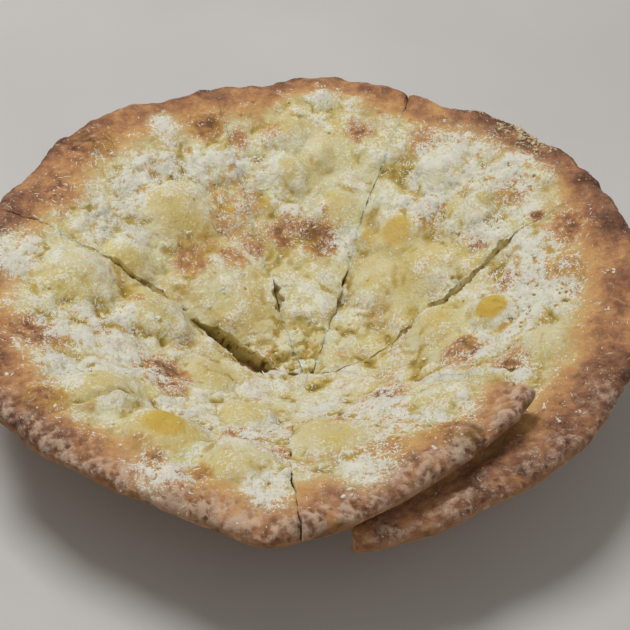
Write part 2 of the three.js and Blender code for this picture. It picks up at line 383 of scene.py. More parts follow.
@dataclass(frozen=True)
class Cut:
    """A cut from the junction to the rim."""

    bearing: float
    bow: float = 0.0  # sideways swing halfway along
    opens: tuple[Span, ...] = ((0.0, 1.0),)  # how open it is, as pairs of distance and share
    gap: float = 0.4  # at the top where it is open but not torn
    torn: float = 1.0  # how far its ragged edges pull back
    droop: float = 0.9  # rounding of the top along it
    length: float = 150.0
    strays: tuple[tuple[int, float, float], ...] = ((7, 1.8, 20.0), (9, 1.1, 6.0))  # seed, height and length
    straight_start: Span = (4.0, 30.0)  # distances between which the strays set in
    ragged_seed: int = 8
    ragged: tuple[Span, ...] = ((0.8, 5.5), (0.6, 2.3))  # height and length of the nicks
    notch_height: float = 4.0
    notch_length: float = 11.0
    notch_from: float = 0.16  # height of the noise above which a notch begins
    chip_height: float = 1.8
    chip_length: float = 4.0
    ragged_start: Span = (5.0, 24.0)  # distances between which the edges turn ragged
    broken_length: float = 8.0
    broken: Span = (0.35, 1.3)  # least and most of the pull on broken stretches
    shut_below: Span = (0.03, 0.15)  # how open a shut cut and an open one are
    shut_gap: float = 0.1  # at the underside
    shut_overlap: float = 0.12  # of each top edge where the cut is shut

    def _line(self, distance: Array, lane: float = 0.0) -> Array:
        """Points along the cut for its noise."""
        return np.stack([distance, np.full_like(distance, lane), np.full_like(distance, self.bearing)], 1)

    def bow_at(self, distance: Array) -> Array:
        """Sideways swing of the cut, as its solids have it."""
        return self.bow * np.sin(math.pi * np.minimum(1.0, distance / self.length))

    def swing(self, distance: Array) -> Array:
        """Sideways place of the cut off its bearing, with its small strays."""
        strays = (rise * Noise(seed).fractal(self._line(distance), size) for seed, rise, size in self.strays)
        return self.bow_at(distance) + sum(strays) * smoothstep(distance, *self.straight_start)

    def open_share(self, distance: Array) -> Array:
        """How open the cut is, from 0 to 1."""
        return np.interp(distance, *zip(*self.opens))

    def pull_back(self, distance: Array, side: int) -> Array:
        """How far a ragged edge stands back from its cut.

        Args:
            distance: Distances from the junction.
            side: 1 for the slice after the cut, -1 for the slice before it.

        Returns:
            A pull for each distance, a little below 0 where the cut is shut.
        """
        noise = Noise(self.ragged_seed)
        line = self._line(distance, 40.0 * side)
        ragged = sum(height * np.abs(noise.smooth(line, length)) for height, length in self.ragged)
        chips = self.chip_height * noise.cells(line, self.chip_length)[1] ** 2
        notches = noise.fractal(line, self.notch_length, 3) - self.notch_from
        notches = self.notch_height * np.maximum(0.0, notches)
        tear = self.torn * (ragged + notches + chips) * smoothstep(distance, *self.ragged_start)
        _, broken = noise.cells(self._line(distance), self.broken_length)
        opened = self.open_share(distance)
        pull = (self.gap / 2.0 + tear) * opened * lerp(*self.broken, broken)
        return pull - self.shut_overlap * fall(opened, *self.shut_below)


@dataclass(frozen=True)
class Bite:
    """A stretch where a cut stands wide open, or its top is torn, at one slice's side."""

    at: float
    reach: float
    depth: float

    def back(self, distance: Array) -> Array:
        """How far the side stands back at distances from the junction."""
        return self.depth * bump_share(np.abs(distance - self.at), self.reach)


NO_BITE = Bite(0.0, 1.0, 0.0)


@dataclass(frozen=True)
class Dome:
    """A swelling of the top."""

    bearing: float
    distance: float
    reach: float
    rise: float
    yolk: float = 0.0  # radius of the yellow spot on it
    glow: float = 0.45  # how yellow the spot is
    core: float = 1.0  # share of the spot that is deep yellow


@dataclass(frozen=True)
class Spot:
    """A patch of the top: where, how wide and how strong."""

    bearing: float
    distance: float
    reach: float
    strength: float = 1.0


def spots(*rows: tuple[float, ...]) -> tuple[Spot, ...]:
    """Patches from rows of bearing, distance, reach and, if it isn't 1, strength."""
    return tuple(Spot(*row) for row in rows)


def tears(*rows: tuple[float, float, float]) -> tuple[Bite, ...]:
    """Torn stretches from rows of distance, reach and depth."""
    return tuple(Bite(*row) for row in rows)


@dataclass(frozen=True)
class Lift:
    """How far a slice is raised at its tip and its two rim corners."""

    tip: float = 0.0
    first: float = 0.0
    last: float = 0.0


@dataclass(frozen=True)
class RimLook:
    """Look of a rim: how wide its browning is, how brown, how floury and how rough."""

    width: Array
    toast: Array
    flour: Array
    rough: Array


@dataclass(frozen=True)
class OwnRim:
    """Rim of a slice that has slid: distances at its two corners, and a bow."""

    first: float
    last: float
    bow: float


@dataclass(frozen=True)
class Cuts:
    """All cuts, counter-clockwise."""

    right: Cut = Cut(
        31.0,
        3.0,
        ((0, 0.4), (48, 0.4), (56, 0.8), (59, 0.2), (64, 0.1), (69, 0.8))
        + ((108, 0.9), (116, 0.3), (132, 0.04)),
        gap=1.6,
    )
    back_right: Cut = Cut(
        72.5,
        4.0,
        ((0, 0.5), (20, 0.25), (36, 0.1), (44, 0.3), (52, 0.05), (66, 0.05), (70, 0.6), (75, 0.04))
        + ((94, 0.04), (98, 0.4), (118, 0.4), (126, 0.03), (156, 0.06), (163, 1)),
        torn=0.6,
    )
    back: Cut = Cut(
        107.0, opens=((0, 0.3), (25, 0.1), (48, 0.06), (52, 0.6), (61, 0.6), (65, 0.03), (170, 0.03))
    )
    back_left: Cut = Cut(
        155.0,
        -7.0,
        ((0, 1), (56, 1), (60, 0.2), (64, 0.5), (68, 0.1), (73, 0.2), (80, 0.9), (94, 0.7))
        + ((104, 0.05), (132, 0.05), (138, 0.4)),
        torn=0.8,
        droop=1.2,
    )
    front_left: Cut = Cut(
        212.0, opens=((0, 0.02), (86, 0.02), (92, 0.4), (99, 0.4), (104, 0.02), (170, 0.05)), torn=0.8
    )
    front: Cut = Cut(
        271.0,
        -9.0,
        ((0, 0.5), (20, 0.1), (54, 0.1), (60, 1), (66, 0.04), (92, 0.04), (97, 1), (103, 0.05))
        + ((120, 0.15), (127, 1)),
        torn=0.6,
    )
    underneath: Cut = Cut(278.0, torn=0.3)
    lifted: Cut = Cut(326.0, torn=0.7)
    front_right: Cut = Cut(
        340.0,
        4.0,
        ((0, 0.04), (81, 0.02), (85, 1), (91, 1), (95, 0.02), (101, 0.02), (104, 1))
        + ((108, 0.02), (170, 0.03)),
    )


@dataclass
class Places:
    """Points of a slice with what is known about each."""

    x: Array
    y: Array
    low: Array
    high: Array
    from_rim: Array
    from_tip: Array
    to_cut: Array
    across: Array


@dataclass(frozen=True)
class Slice:
    """One slice: its form as in the solids, and its top's marks. Pairs are for its first and last cut."""

    name: str  # of the CAD node that it stands for
    first: Cut  # where it begins, counter-clockwise
    last: Cut
    domes: tuple[Dome, ...] = ()  # the solid has them too
    lift: Lift = Lift()
    tip: Span = (2.5, 2.5)  # where it begins along its cuts
    slides: tuple[Span, Span] = ((0.0, 0.0), (0.0, 0.0))  # how far its tip's corners have moved
    bites: tuple[Bite, Bite] = (NO_BITE, NO_BITE)  # where its cuts stand wide open
    tears: tuple[tuple[Bite, ...], tuple[Bite, ...]] = ((), ())  # where the top alone is torn back
    rim: OwnRim | None = None
    covered: float = 0.0  # share across it that lies under its neighbour
    look: RimLook = RimLook(25.0, 0.55, 0.2, 0.4)
    alone: bool = False  # off its place, so that no mark of the round runs on over its cuts
    toasts: tuple[Spot, ...] = ()
    yolks: tuple[Spot, ...] = ()  # yellow spots off the domes
    whites: tuple[Spot, ...] = ()
    softs: tuple[Spot, ...] = ()  # smooth stretches of melted cheese
    pitted: tuple[Spot, ...] = ()
    crumbled: float = 0.0  # how far from its tip the top is torn to crumb
    lips: Span = (0.0, 0.0)  # how far its top rises along its cuts, or sinks where below 0
    step: float = 0.7  # spacing of its surface points

    tip_distance: float = 2.5
    slide_span: float = 50.0
    narrowest: float = 0.35
    solid_gap: float = 0.8
    bite_below: float = 0.25  # share of a bite at the underside
    tear_seed: int = 12
    tear_length: float = 6.0
    tear_sway: float = 1.5
    tear_range: Span = (0.15, 2.0)  # least and most of a tear that its ragged edge leaves
    droop_width: float = 2.6
    corner_round: float = 2.0
    corner_power: float = 10.0
    lift_span: float = 94.5

    @property
    def end(self) -> float:
        """Bearing of the last cut, always past the first."""
        return self.last.bearing + (360.0 if self.last.bearing < self.first.bearing else 0.0)

    @property
    def span(self) -> float:
        """Angle between the two cuts, in degrees."""
        return self.end - self.first.bearing

    @staticmethod
    def beside(across: Array, first: Array, last: Array) -> Array:
        """What belongs to the nearer of the two cuts."""
        return np.where(across < 0.5, first, last)

    def rim_distance(self, across: Array) -> Array:
        """Distance from the junction to the rim.

        Args:
            across: Shares across the slice.

        Returns:
            One distance for each share.
        """
        corner = self.corner_round * np.abs(2.0 * across - 1.0) ** self.corner_power
        if self.rim:
            straight = lerp(self.rim.first, self.rim.last, across)
            return straight + self.rim.bow * 4.0 * across * spare(across) - corner
        return DISH.edge(lerp(self.first.bearing, self.end, across)) - corner

    def tip_at(self, across: Array) -> Array:
        """Distance from the junction to the tip's end at shares across the slice."""
        return lerp(*self.tip, across)

    def run_distance(self, run: Array, across: Array) -> Array:
        """Distance from the junction at a run.

        Args:
            run: 0 at the tip, 1 where the nose starts and 2 at its end.
            across: Shares across the slice.

        Returns:
            One distance for each run.
        """
        rim = self.rim_distance(across)
        slope = lerp(self.tip_at(across), rim - DISH.nose_reach, np.minimum(run, 1.0))
        return slope + DISH.nose_reach * np.sin(0.5 * math.pi * unit(run - 1.0))

    def _bitten(self, side: int, distance: Array) -> Array:
        """How much wider the cut stands open at the slice's first side, 0, or its last, 1."""
        widest = self.narrowest * distance * math.radians(self.span)
        return np.minimum(self.bites[side].back(distance), widest)

    def _torn(self, side: int, distance: Array) -> Array:
        """How far the top is torn back.

        Args:
            side: 0 for the slice's first side, 1 for its last.
            distance: Distances from the junction.

        Returns:
            One width for each distance.
        """
        back = sum((tear.back(distance) for tear in self.tears[side]), np.zeros_like(distance))
        lane = np.full_like(distance, 50.0 * side)
        ragged = Noise(self.tear_seed).fractal(np.stack([distance, lane, lane], 1), self.tear_length, 3)
        return back * np.clip(1.0 + self.tear_sway * ragged, *self.tear_range)

    def bitten_at(self, distance: Array, across: Array) -> Array:
        """How much wider the nearer cut stands open at points of the slice's sides."""
        return self.beside(across, self._bitten(0, distance), self._bitten(1, distance))

    def open_at(self, distance: Array, across: Array) -> Array:
        """How open the nearer cut is, from 0 to 1."""
        return self.beside(across, self.first.open_share(distance), self.last.open_share(distance))

    def _edges(self, distance: Array, under: bool) -> Pair:
        """Sideways places of the slice's two edges off their bearings.

        Args:
            distance: Distances from the junction.
            under: Whether they are the edges of the underside, where the cuts are shut.

        Returns:
            Places at the first and at the last cut, both positive counter-clockwise.
        """
        places = []
        for side, (cut, inward) in enumerate(((self.first, 1), (self.last, -1))):
            back = self._bitten(side, distance)
            if under:
                back = self.bite_below * back + cut.shut_gap / 2.0
            else:
                back = back + cut.pull_back(distance, inward) + self._torn(side, distance)
            places.append(cut.swing(distance) + inward * back)
        return places[0], places[1]

    def _plan(self, distance: Array, across: Array, edges: Pair) -> tuple[Array, Array, Array]:
        """Plan places.

        Args:
            distance: Distances from the junction.
            across: Shares across the slice.
            edges: Sideways places of the first and the last edge.

        Returns:
            Places along X and Y, and the slice's width at each.
        """
        start = math.radians(self.first.bearing) + edges[0] / distance
        end = math.radians(self.end) + edges[1] / distance
        x, y = DISH.plan(lerp(start, end, across), distance)
        slid = fall(distance, self.tip_distance, self.slide_span)
        (first_x, first_y), (last_x, last_y) = self.slides
        x = x + lerp(first_x, last_x, across) * slid
        y = y + lerp(first_y, last_y, across) * slid
        return x, y, distance * (end - start)

    def solid_place(self, distance: float, across: float) -> Span:
        """Plan place of a point of the solid.

        Args:
            distance: Distance from the junction.
            across: Share across the slice.

        Returns:
            The place along X and Y.
        """
        along = np.array([distance])
        first = self.first.bow_at(along) + self.solid_gap / 2.0 + self._bitten(0, along)
        last = self.last.bow_at(along) - self.solid_gap / 2.0 - self._bitten(1, along)
        x, y, _ = self._plan(along, np.array([across]), (first, last))
        return float(x[0]), float(y[0])

    def places(self, run: Array, across: Array, under: bool = False) -> Places:
        """Top and underside points.

        Args:
            run: Runs from tip to nose, as run_distance has them.
            across: Shares across the slice.
            under: Whether they are points of the underside.

        Returns:
            The points' plan places, heights, and distances to rim, tip and cut.
        """
        distance = self.run_distance(run, across)
        x, y, width = self._plan(distance, across, self._edges(distance, under))
        from_rim = self.rim_distance(across) - distance
        from_tip = distance - self.tip_at(across)
        to_cut = width * np.minimum(across, spare(across))
        rim_lift = lerp(self.lift.first, self.lift.last, across)
        lift = lerp(self.lift.tip, rim_lift, smoothstep(distance, self.tip_distance, self.lift_span))
        bed = DISH.sag - DISH.depth(np.hypot(x, y)) - DISH.rest_depth
        bead = smoothstep(from_rim, -DISH.bead_width, 0.0) * fall(from_rim, 0.0, DISH.bead_width)
        droop = self.beside(across, self.first.droop, self.last.droop) * self.open_at(distance, across)
        droop = droop * fall(to_cut, 0.0, self.droop_width)
        low = np.maximum(0.0, np.maximum(0.0, bed) + lift)
        high = bed + DISH.rest_depth + DISH.thickness + lift + DISH.rim_bead * bead - droop
        high = high + DISH.ripple(x, y) + self.dome_height(x, y)
        nose = unit(1.0 - from_rim / DISH.nose_reach)
        half = (high - low) / 2.0 * np.sqrt(np.maximum(0.0, 1.0 - nose * nose))
        middle = (low + high) / 2.0
        return Places(x, y, middle - half, middle + half, from_rim, from_tip, to_cut, across)

    def dome_height(self, x: Array, y: Array) -> Array:
        """Height of the domes together at plan places."""
        heights = (dome.rise * bump_share(DISH.away(x, y, dome), dome.reach) for dome in self.domes)
        return sum(heights, np.zeros_like(x))


CUTS = Cuts()

# Domes that a cut runs through, so that they rise on both its sides
RIGHT_DOME = Dome(23, 62, 17, 4)
BACK_RIGHT_DOME = Dome(64, 68, 17, 4, yolk=6)
BACK_DOMES = (Dome(121, 66, 32, 8), Dome(90, 62, 28, 6))
FRONT_LEFT_DOMES = (Dome(207, 95, 20, 6), Dome(208, 120, 13, 3))

SLICES: tuple[Slice, ...] = (
    Slice(
        "slice_right",
        CUTS.front_right,
        CUTS.right,
        domes=(Dome(13, 84, 13, 5, yolk=6.5, glow=1.0), RIGHT_DOME, Dome(-8, 102, 15, 3.5))
        + (Dome(15, 119, 13, 2.5), Dome(2, 66, 12, 3)),
        tip=(32.0, 12.0),
        look=RimLook(31.0, 0.66, 0.25, 0.6),
        toasts=spots((26, 134, 12, 0.6), (15, 119, 12, 0.5), (-2, 69, 11, 0.62), (33, 128, 4, 0.8))
        + spots((-14, 88, 9, 0.55), (22, 98, 8, 0.45)),
        yolks=spots((23, 64, 14, 0.35), (2, 86, 12, 0.3), (-5, 100, 12, 0.25)),
        whites=spots((12, 101, 26), (3, 86, 22), (24, 110, 20)),
        pitted=spots((12, 101, 20)),
    ),
    Slice(
        "slice_back_right",
        CUTS.right,
        CUTS.back_right,
        domes=(Dome(60, 129, 16, 4), Dome(48, 115, 16, 4), Dome(63, 93, 15, 3.5, yolk=8, glow=0.85))
        + (Dome(47, 83, 18, 4), BACK_RIGHT_DOME, RIGHT_DOME),
        tip=(13.0, 6.0),
        tears=(tears((55, 4, 2.6), (71, 5, 2.0), (84, 8, 1.5), (105, 9, 1.5)), tears((71, 4, 1.6))),
        look=RimLook(24.0, 0.8, 0.25, 0.6),
        toasts=spots((66, 141, 10, 0.4), (42, 132, 9, 0.5), (57, 106, 9, 0.42), (40, 103, 7, 0.5)),
        yolks=spots((71, 90, 7, 0.8), (60, 85, 22, 0.35), (50, 66, 18, 0.3), (45, 95, 14, 0.2)),
        whites=spots((55, 128, 38), (45, 136, 26), (60, 110, 18), (40, 112, 16)),
        softs=spots((60, 82, 22), (48, 72, 18)),
    ),
    Slice(
        "slice_back",
        CUTS.back_right,
        CUTS.back,
        domes=(Dome(95, 138, 14, 4.5, yolk=6.5, glow=0.45),)
        + (Dome(95, 118, 14, 4.5, yolk=7, glow=0.52), Dome(88, 128, 12, 3))
        + (Dome(83, 101, 13, 3, yolk=7), BACK_RIGHT_DOME, *BACK_DOMES),
        tip=(6.0, 6.0),
        tears=(tears((19, 8, 2.0), (47, 8, 1.8)), tears((54, 3.5, 2.2), (60, 3, 1.2))),
        crumbled=50.0,
        look=RimLook(22.0, 0.6, 0.15, 0.4),
        toasts=spots((98, 90, 10, 0.6), (88, 88, 11, 0.74), (105, 139, 7, 0.5), (104, 90, 8, 0.4))
        + spots((109, 86, 9, 0.5), (110, 104, 17, 0.32), (98, 141, 9, 0.34), (80, 142, 9, 0.5)),
        yolks=spots((102, 106, 4.5, 0.8), (88, 118, 22, 0.1), (83, 104, 10, 0.5), (90, 70, 20, 0.25)),
        whites=spots((88, 157, 12, 0.6), (92, 124, 26), (104, 122, 14), (80, 86, 12), (88, 60, 18)),
        softs=spots((88, 125, 30), (82, 104, 16)),
    ),
    Slice(
        "slice_back_left",
        CUTS.back,
        CUTS.back_left,
        domes=(Dome(126, 108, 24, 6, yolk=6), Dome(147, 100, 15, 5.5), Dome(131, 162, 14, 2.5))
        + (Dome(110.5, 150, 10, 2), *BACK_DOMES),
        tip=(6.0, 14.5),
        bites=(NO_BITE, Bite(42.0, 30.0, 8.0)),
        tears=(tears((51, 4, 1.4), (57, 4.5, 2.6)), tears((65, 3, 1.6), (84, 9, 5.0))),
        crumbled=38.0,
        look=RimLook(30.0, 0.64, 0.2, 0.4),
        toasts=spots((131, 86, 12, 0.52), (123, 89, 9, 0.42), (110.5, 150, 9, 0.72), (133, 163, 14, 0.78))
        + spots((146, 146, 14, 0.55), (115, 96, 9, 0.4), (118, 81, 9, 0.5)),
        yolks=spots((112, 106, 4, 0.9), (126, 103, 18, 0.35), (120, 60, 20, 0.25), (150, 97, 12, 0.4)),
        whites=spots((119, 129, 18), (130, 128, 22), (141, 118, 20), (118, 157, 11)),
        softs=spots((126, 104, 20), (124, 62, 22)),
    ),
    Slice(
        "slice_left",
        CUTS.back_left,
        CUTS.front_left,
        domes=(Dome(164, 110, 24, 6), Dome(160, 74, 20, 7), Dome(184, 45, 16, 3.5))
        + (*FRONT_LEFT_DOMES,),
        slides=((-17.0, 7.0), (-16.0, 7.0)),
        bites=(Bite(10.0, 44.0, 3.0), NO_BITE),
        lips=(0.0, -1.6),
        look=RimLook(24.0, 0.82, 0.5, 0.8),
        toasts=spots((190, 64, 12, 0.66), (201, 64, 9, 0.5), (187, 119, 14, 0.6), (208, 122, 12, 0.66))
        + spots((160, 84, 5, 0.5), (178, 92, 5, 0.45)),
        yolks=spots((166, 108, 16, 0.25), (165, 76, 14, 0.3), (206, 95, 12, 0.45)),
        whites=spots((164, 136, 24), (178, 100, 26), (172, 84, 18), (192, 82, 18), (198, 104, 18)),
    ),
    Slice(
        "slice_front_left",
        CUTS.front_left,
        CUTS.front,
        domes=(Dome(231, 90, 23, 7, yolk=14.5, glow=1.0, core=0.55), Dome(251, 88, 22, 6))
        + (Dome(235, 46, 16, 3.5), Dome(246, 122, 14, 2.5), *FRONT_LEFT_DOMES),
        lift=Lift(tip=3.0),
        slides=((-16.0, 7.0), (0.0, 7.0)),
        lips=(2.2, 0.0),
        look=RimLook(22.0, 0.5, 0.95, 1.0),
        toasts=spots((246, 69, 11, 0.5), (246, 122, 8, 0.62), (247, 104, 5, 0.6), (236, 108, 6, 0.55))
        + spots((262, 76, 8, 0.5)),
        yolks=spots((229, 84, 20, 0.3), (250, 92, 14, 0.25), (235, 46, 14, 0.25)),
        whites=spots((226, 74, 20), (240, 110, 20), (250, 88, 16, 0.6), (262, 104, 16), (252, 56, 20)),
        softs=spots((250, 88, 18), (236, 50, 16)),
    ),
    Slice(
        "slice_lifted",
        CUTS.front,
        CUTS.lifted,
        domes=(Dome(276, 70, 22, 6, yolk=13, glow=0.5), Dome(316, 74, 17, 3.5))
        + (Dome(290, 92, 14, 2.5), Dome(305, 99, 14, 3)),
        lift=Lift(10.0, 2.5, 13.5),
        slides=((0.0, 0.0), (15.5, 0.0)),
        rim=OwnRim(129.0, 110.5, -6.5),
        look=RimLook(22.0, 0.62, 0.88, 1.0),
        alone=True,
        toasts=spots((313, 49, 10, 0.62), (305, 99, 11, 0.62), (289, 90, 11, 0.5), (283, 60, 6, 0.5))
        + spots((300, 70, 7, 0.4), (278, 65, 6, 0.34), (269, 58, 6, 0.5)),
        yolks=spots((277, 70, 18, 0.4), (300, 88, 14, 0.2)),
        whites=spots((298, 62, 22), (283, 98, 18), (312, 84, 16), (280, 40, 16)),
        softs=spots((278, 72, 18)),
    ),
    Slice(
        "slice_front_right",
        CUTS.underneath,
        CUTS.front_right,
        lift=Lift(-2.5, -9.5, 0.0),
        covered=0.72,
        lips=(0.0, 1.2),
        look=RimLook(30.0, 0.64, 0.6, 1.0),
        alone=True,
        whites=spots((335, 96, 14)),
        step=1.1,
    ),
)


def stitch(near: Array, far: Array) -> Array:
    """Triangles between two rows of vertices, where one row may have twice the other's steps.

    Args:
        near: Vertex numbers of the inner row, counter-clockwise.
        far: Vertex numbers of the outer row, counter-clockwise.

    Returns:
        Triangles that face up.
    """
    if len(near) > len(far):
        return stitch(far, near)[:, ::-1]
    if len(near) == len(far):
        return np.concatenate(
            [np.stack([near[:-1], far[:-1], far[1:]], 1), np.stack([near[:-1], far[1:], near[1:]], 1)]
        )
    return np.concatenate(
        [
            np.stack([near[:-1], far[:-1:2], far[1::2]], 1),
            np.stack([near[:-1], far[1::2], near[1:]], 1),
            np.stack([near[1:], far[1::2], far[2::2]], 1),
        ]
    )


def stitch_rows(rows: list[Array]) -> Array:
    """Triangles between neighbouring rows, from the inmost outwards."""
    return np.concatenate([stitch(near, far) for near, far in zip(rows[:-1], rows[1:])])


def vertex_normals(points: Array, triangles: Array) -> Array:
    """Unit normals of vertices, weighted by the area of their triangles.

    Args:
        points: Vertices, one row each.
        triangles: Vertex numbers of the faces.

    Returns:
        One normal for each vertex.
    """
    a, b, c = (points[triangles[:, corner]] for corner in range(3))
    faces = np.cross(b - a, c - a)
    total = np.zeros_like(points)
    for corner in range(3):
        for axis in range(3):
            total[:, axis] += np.bincount(triangles[:, corner], faces[:, axis], len(points))
    return total / np.maximum(np.linalg.norm(total, axis=1, keepdims=True), 1e-12)


def edge_keys(pairs: Array, count: int) -> Array:
    """One number for each pair of vertices, whichever comes first."""
    return pairs.min(1).astype(np.int64) * count + pairs.max(1)


def make_object(
    name: str,
    points: Array,
    triangles: Array,
    layers: dict[Layer, Array],
    material: bpy.types.Material,
    bake_places: Array | None = None,
    shading: Array | None = None,
    ridges: tuple[Array, ...] = (),
) -> bpy.types.Object:
    """Write arrays to a smooth mesh object.

    Args:
        name: Name of the object.
        points: Vertices in metres.
        triangles: Vertex numbers of the faces.
        layers: What the vertices carry for the finish.
        material: The finish.
        bake_places: Places of the face corners in the bake map, if the piece brings one.
        shading: Normals that the vertices are shaded with, if not their own.
        ridges: Lines of vertices along which the shading breaks.

    Returns:
        The object, in the scene.
    """
    mesh = bpy.data.meshes.new(name)
    mesh.vertices.add(len(points))
    mesh.vertices.foreach_set("co", points.astype(np.float32).ravel())
    mesh.loops.add(triangles.size)
    mesh.loops.foreach_set("vertex_index", triangles.astype(np.int32).ravel())
    mesh.polygons.add(len(triangles))
    mesh.polygons.foreach_set("loop_start", np.arange(0, triangles.size, 3, dtype=np.int32))
    if bake_places is not None:
        uv = mesh.uv_layers.new(name=BAKE_MAP)
        uv.uv.foreach_set("vector", bake_places.astype(np.float32).ravel())
    for layer, values in layers.items():
        attribute = mesh.attributes.new(layer.value, "FLOAT", "POINT")
        attribute.data.foreach_set("value", unit(values).astype(np.float32))
    mesh.update(calc_edges=True)
    mesh.shade_smooth()
    if ridges:
        ends = np.zeros(2 * len(mesh.edges), np.int32)
        mesh.edges.foreach_get("vertices", ends)
        pairs = np.concatenate([np.stack([line[:-1], line[1:]], 1) for line in ridges])
        sharp = np.isin(edge_keys(ends.reshape(-1, 2), len(points)), edge_keys(pairs, len(points)))
        mesh.attributes.new("sharp_edge", "BOOLEAN", "EDGE").data.foreach_set("value", sharp)
    if shading is not None:
        mesh.normals_split_custom_set_from_vertices(shading.astype(np.float32))
    mesh.materials.append(material)
    piece = bpy.data.objects.new(name, mesh)
    bpy.context.scene.collection.objects.link(piece)
    return piece


@dataclass
class Bed:
    """Triangles of a slice's top, in millimetres, on which loose cheese may lie."""

    points: Array
    normals: Array
    triangles: Array
    density: Array
    toast: Array

    def height(self, x: float, y: float) -> float:
        """Height of the point nearest to a plan place."""
        return self.points[np.argmin(np.hypot(self.points[:, 0] - x, self.points[:, 1] - y)), 2]


@dataclass(frozen=True)
class SkinRule:
    """Sizes of the fine relief, and strengths of the browning; pairs are ends of a soft step or a range."""

    seed: int = 500
    texture_seed: int = 20
    wall_seed: int = 60
    under_seed: int = 80

    broad_length: float = 26.0
    thin_length: float = 18.0
    lump_length: float = 13.0
    lump_height: float = 2.0
    clump_length: float = 6.0
    fine_length: float = 2.0
    fine_height: float = 0.12
    gap_length: float = 4.0
    grain_length: float = 1.8
    grain_height: float = 0.2
    puff_length: float = 9.5
    puff_height: float = 2.1
    puff_level: float = 0.6  # height of a puff that neither rises nor sinks
    small_puff: float = 5.0
    heap_length: float = 3.4
    heap_height: float = 0.3
    crater_length: float = 3.4
    crater_depth: float = 0.6
    rough_length: float = 3.4
    rough_height: float = 0.7
    rough_lump: float = 0.8

    button: float = 0.28  # extra rise that makes a dome's sides steep, as a share of its own
    button_reach: float = 0.74
    # Yellow on the domes' flanks: partly the melted cheese's colour, partly painted shade
    crease_depth: float = 1.1  # round the foot of a dome
    flank_yolk_and_shade: float = 1.6
    deep_yolk: float = 0.45  # share of a yellow spot's strength that is its core's
    toast_end: float = 1.6

    rim_sway: Span = (10.0, 5.0)  # of the rim's inner line, by broad noise and by clumps
    rim_fade: Span = (0.3, 1.4)  # in widths of the rim
    bare_fade: Span = (0.75, 1.55)
    inner_pale: float = 0.22
    # Darker at the outer edge: partly the crust's browning, partly painted shade
    edge_brown_and_shade: float = 0.16
    flour_fade: Span = (3.0, 18.0)
    flour_share: Span = (0.45, 0.4)  # all over the rim, and more at its edge
    patch_toast: float = 1.05
    patch_power: float = 1.15
    tan_toast: float = 0.22
    gap_toast: float = 0.24
    melted_yolk: float = 0.52

    crumb_length: float = 3.6
    crumb_depth: float = 1.7
    crumb_sway: float = 9.0
    block_length: float = 6.5  # of torn chunks
    block_height: float = 2.4
    lip_width: float = 5.0
    lip_fade: Span = (12.0, 34.0)
    # Painted shade between puffs, at the foot of domes and where the relief is low
    puff_shade: float = 0.82
    crease_shade: float = 0.45
    low_shade: float = 0.48

    blisters: int = 20
    blister_reach: Span = (2.6, 6.5)
    blister_rise: Span = (0.5, 1.5)
    blister_margin: float = 4.0
    blisters_browned: float = 0.35
    pits: int = 7
    pits_in_patch: int = 26
    pit_reach: Span = (0.8, 1.6)
    pit_depth: Span = (0.5, 1.3)
    under_length: float = 9.0
    under_height: float = 0.35


@dataclass(frozen=True)
class Strewing:
    """How thickly loose cheese lies on each kind of surface."""

    film: float = 0.06
    strewn: float = 0.6
    heap: float = 0.5
    browned: float = 0.14
    shut: float = 0.12  # beside a cut
    bare: float = 0.12
    beside_cut: Span = (0.4, 1.6)


@dataclass(frozen=True)
class Paleness:
    """How white the shreds are all over, and what each kind of surface adds."""

    everywhere: float = 0.31
    # Whiter on raised relief: partly where the dry cheese lies, partly painted light
    crests: float = 0.4
    strewn: float = 0.18
    white: float = 0.27
    browned: float = -0.05
    core: float = -0.2
    sprinkled: float = 0.3
    yolk: float = -0.5
    gaps: float = -0.35
    rim: float = -0.55
    torn: float = 0.04
    # Painted shade: less white in the hollows
    hollow: float = -0.42


@dataclass
class Texture:
    """Noise of several sizes at the points of a top, each kind read far from the others."""

    broad: Array
    lump: Array
    clump: Array
    fine: Array
    thin: Array
    gaps: Array
    grain: Array
    puff: Array
    heap: Array
    crater: Array
    rough: Array

    @classmethod
    def at(cls, points: Array, rule: SkinRule) -> "Texture":
        """Work the noise out.

        Args:
            points: Places, one row each.
            rule: Sizes of the relief.

        Returns:
            The noise at those places.
        """
        noise = Noise(rule.texture_seed)
        clump = noise.fractal(points + 100.0, rule.clump_length, 2)
        fine = noise.smooth(points + 200.0, rule.fine_length)

        def mounds(places: Array, length: float, spread: float) -> Array:
            """Rounded mounds about scattered seeds."""
            return unit(1.0 - (noise.cells(places, length)[0] / spread) ** 2)

        def chosen(places: Array, length: float, edge: Span, owners: Span) -> Array:
            """Mounds about some of the scattered seeds alone."""
            away, owner = noise.cells(places, length)
            return fall(away, *edge) * smoothstep(owner, *owners)

        large = points + 700.0 + 2.2 * clump[:, None]
        small = points + 760.0 + fine[:, None]
        heaped = points + 600.0 + 0.6 * fine[:, None]
        dented = points + 400.0 + 0.5 * fine[:, None]
        return cls(
            broad=noise.fractal(points, rule.broad_length, 2),
            lump=noise.fractal(points, rule.lump_length, 2),
            clump=clump,
            fine=fine,
            thin=noise.fractal(points + 300.0, rule.thin_length, 3),
            gaps=noise.fractal(points + 800.0, rule.gap_length, 2),
            grain=mounds(points, rule.grain_length, 0.87),
            puff=0.72 * mounds(large, rule.puff_length, 0.8)
            + 0.28 * mounds(small, rule.small_puff, 0.8),
            heap=chosen(heaped, rule.heap_length, (0.12, 0.6), (0.2, 0.55)),
            crater=chosen(dented, rule.crater_length, (0.1, 0.42), (0.3, 0.6)),
            rough=noise.fractal(points + 500.0, rule.rough_length, 2),
        )


@dataclass(frozen=True)
class Kin:
    """Neighbours of a slice, and all slices whose marks run on over its cuts."""

    before: Slice
    after: Slice
    family: tuple[Slice, ...]
    number: int


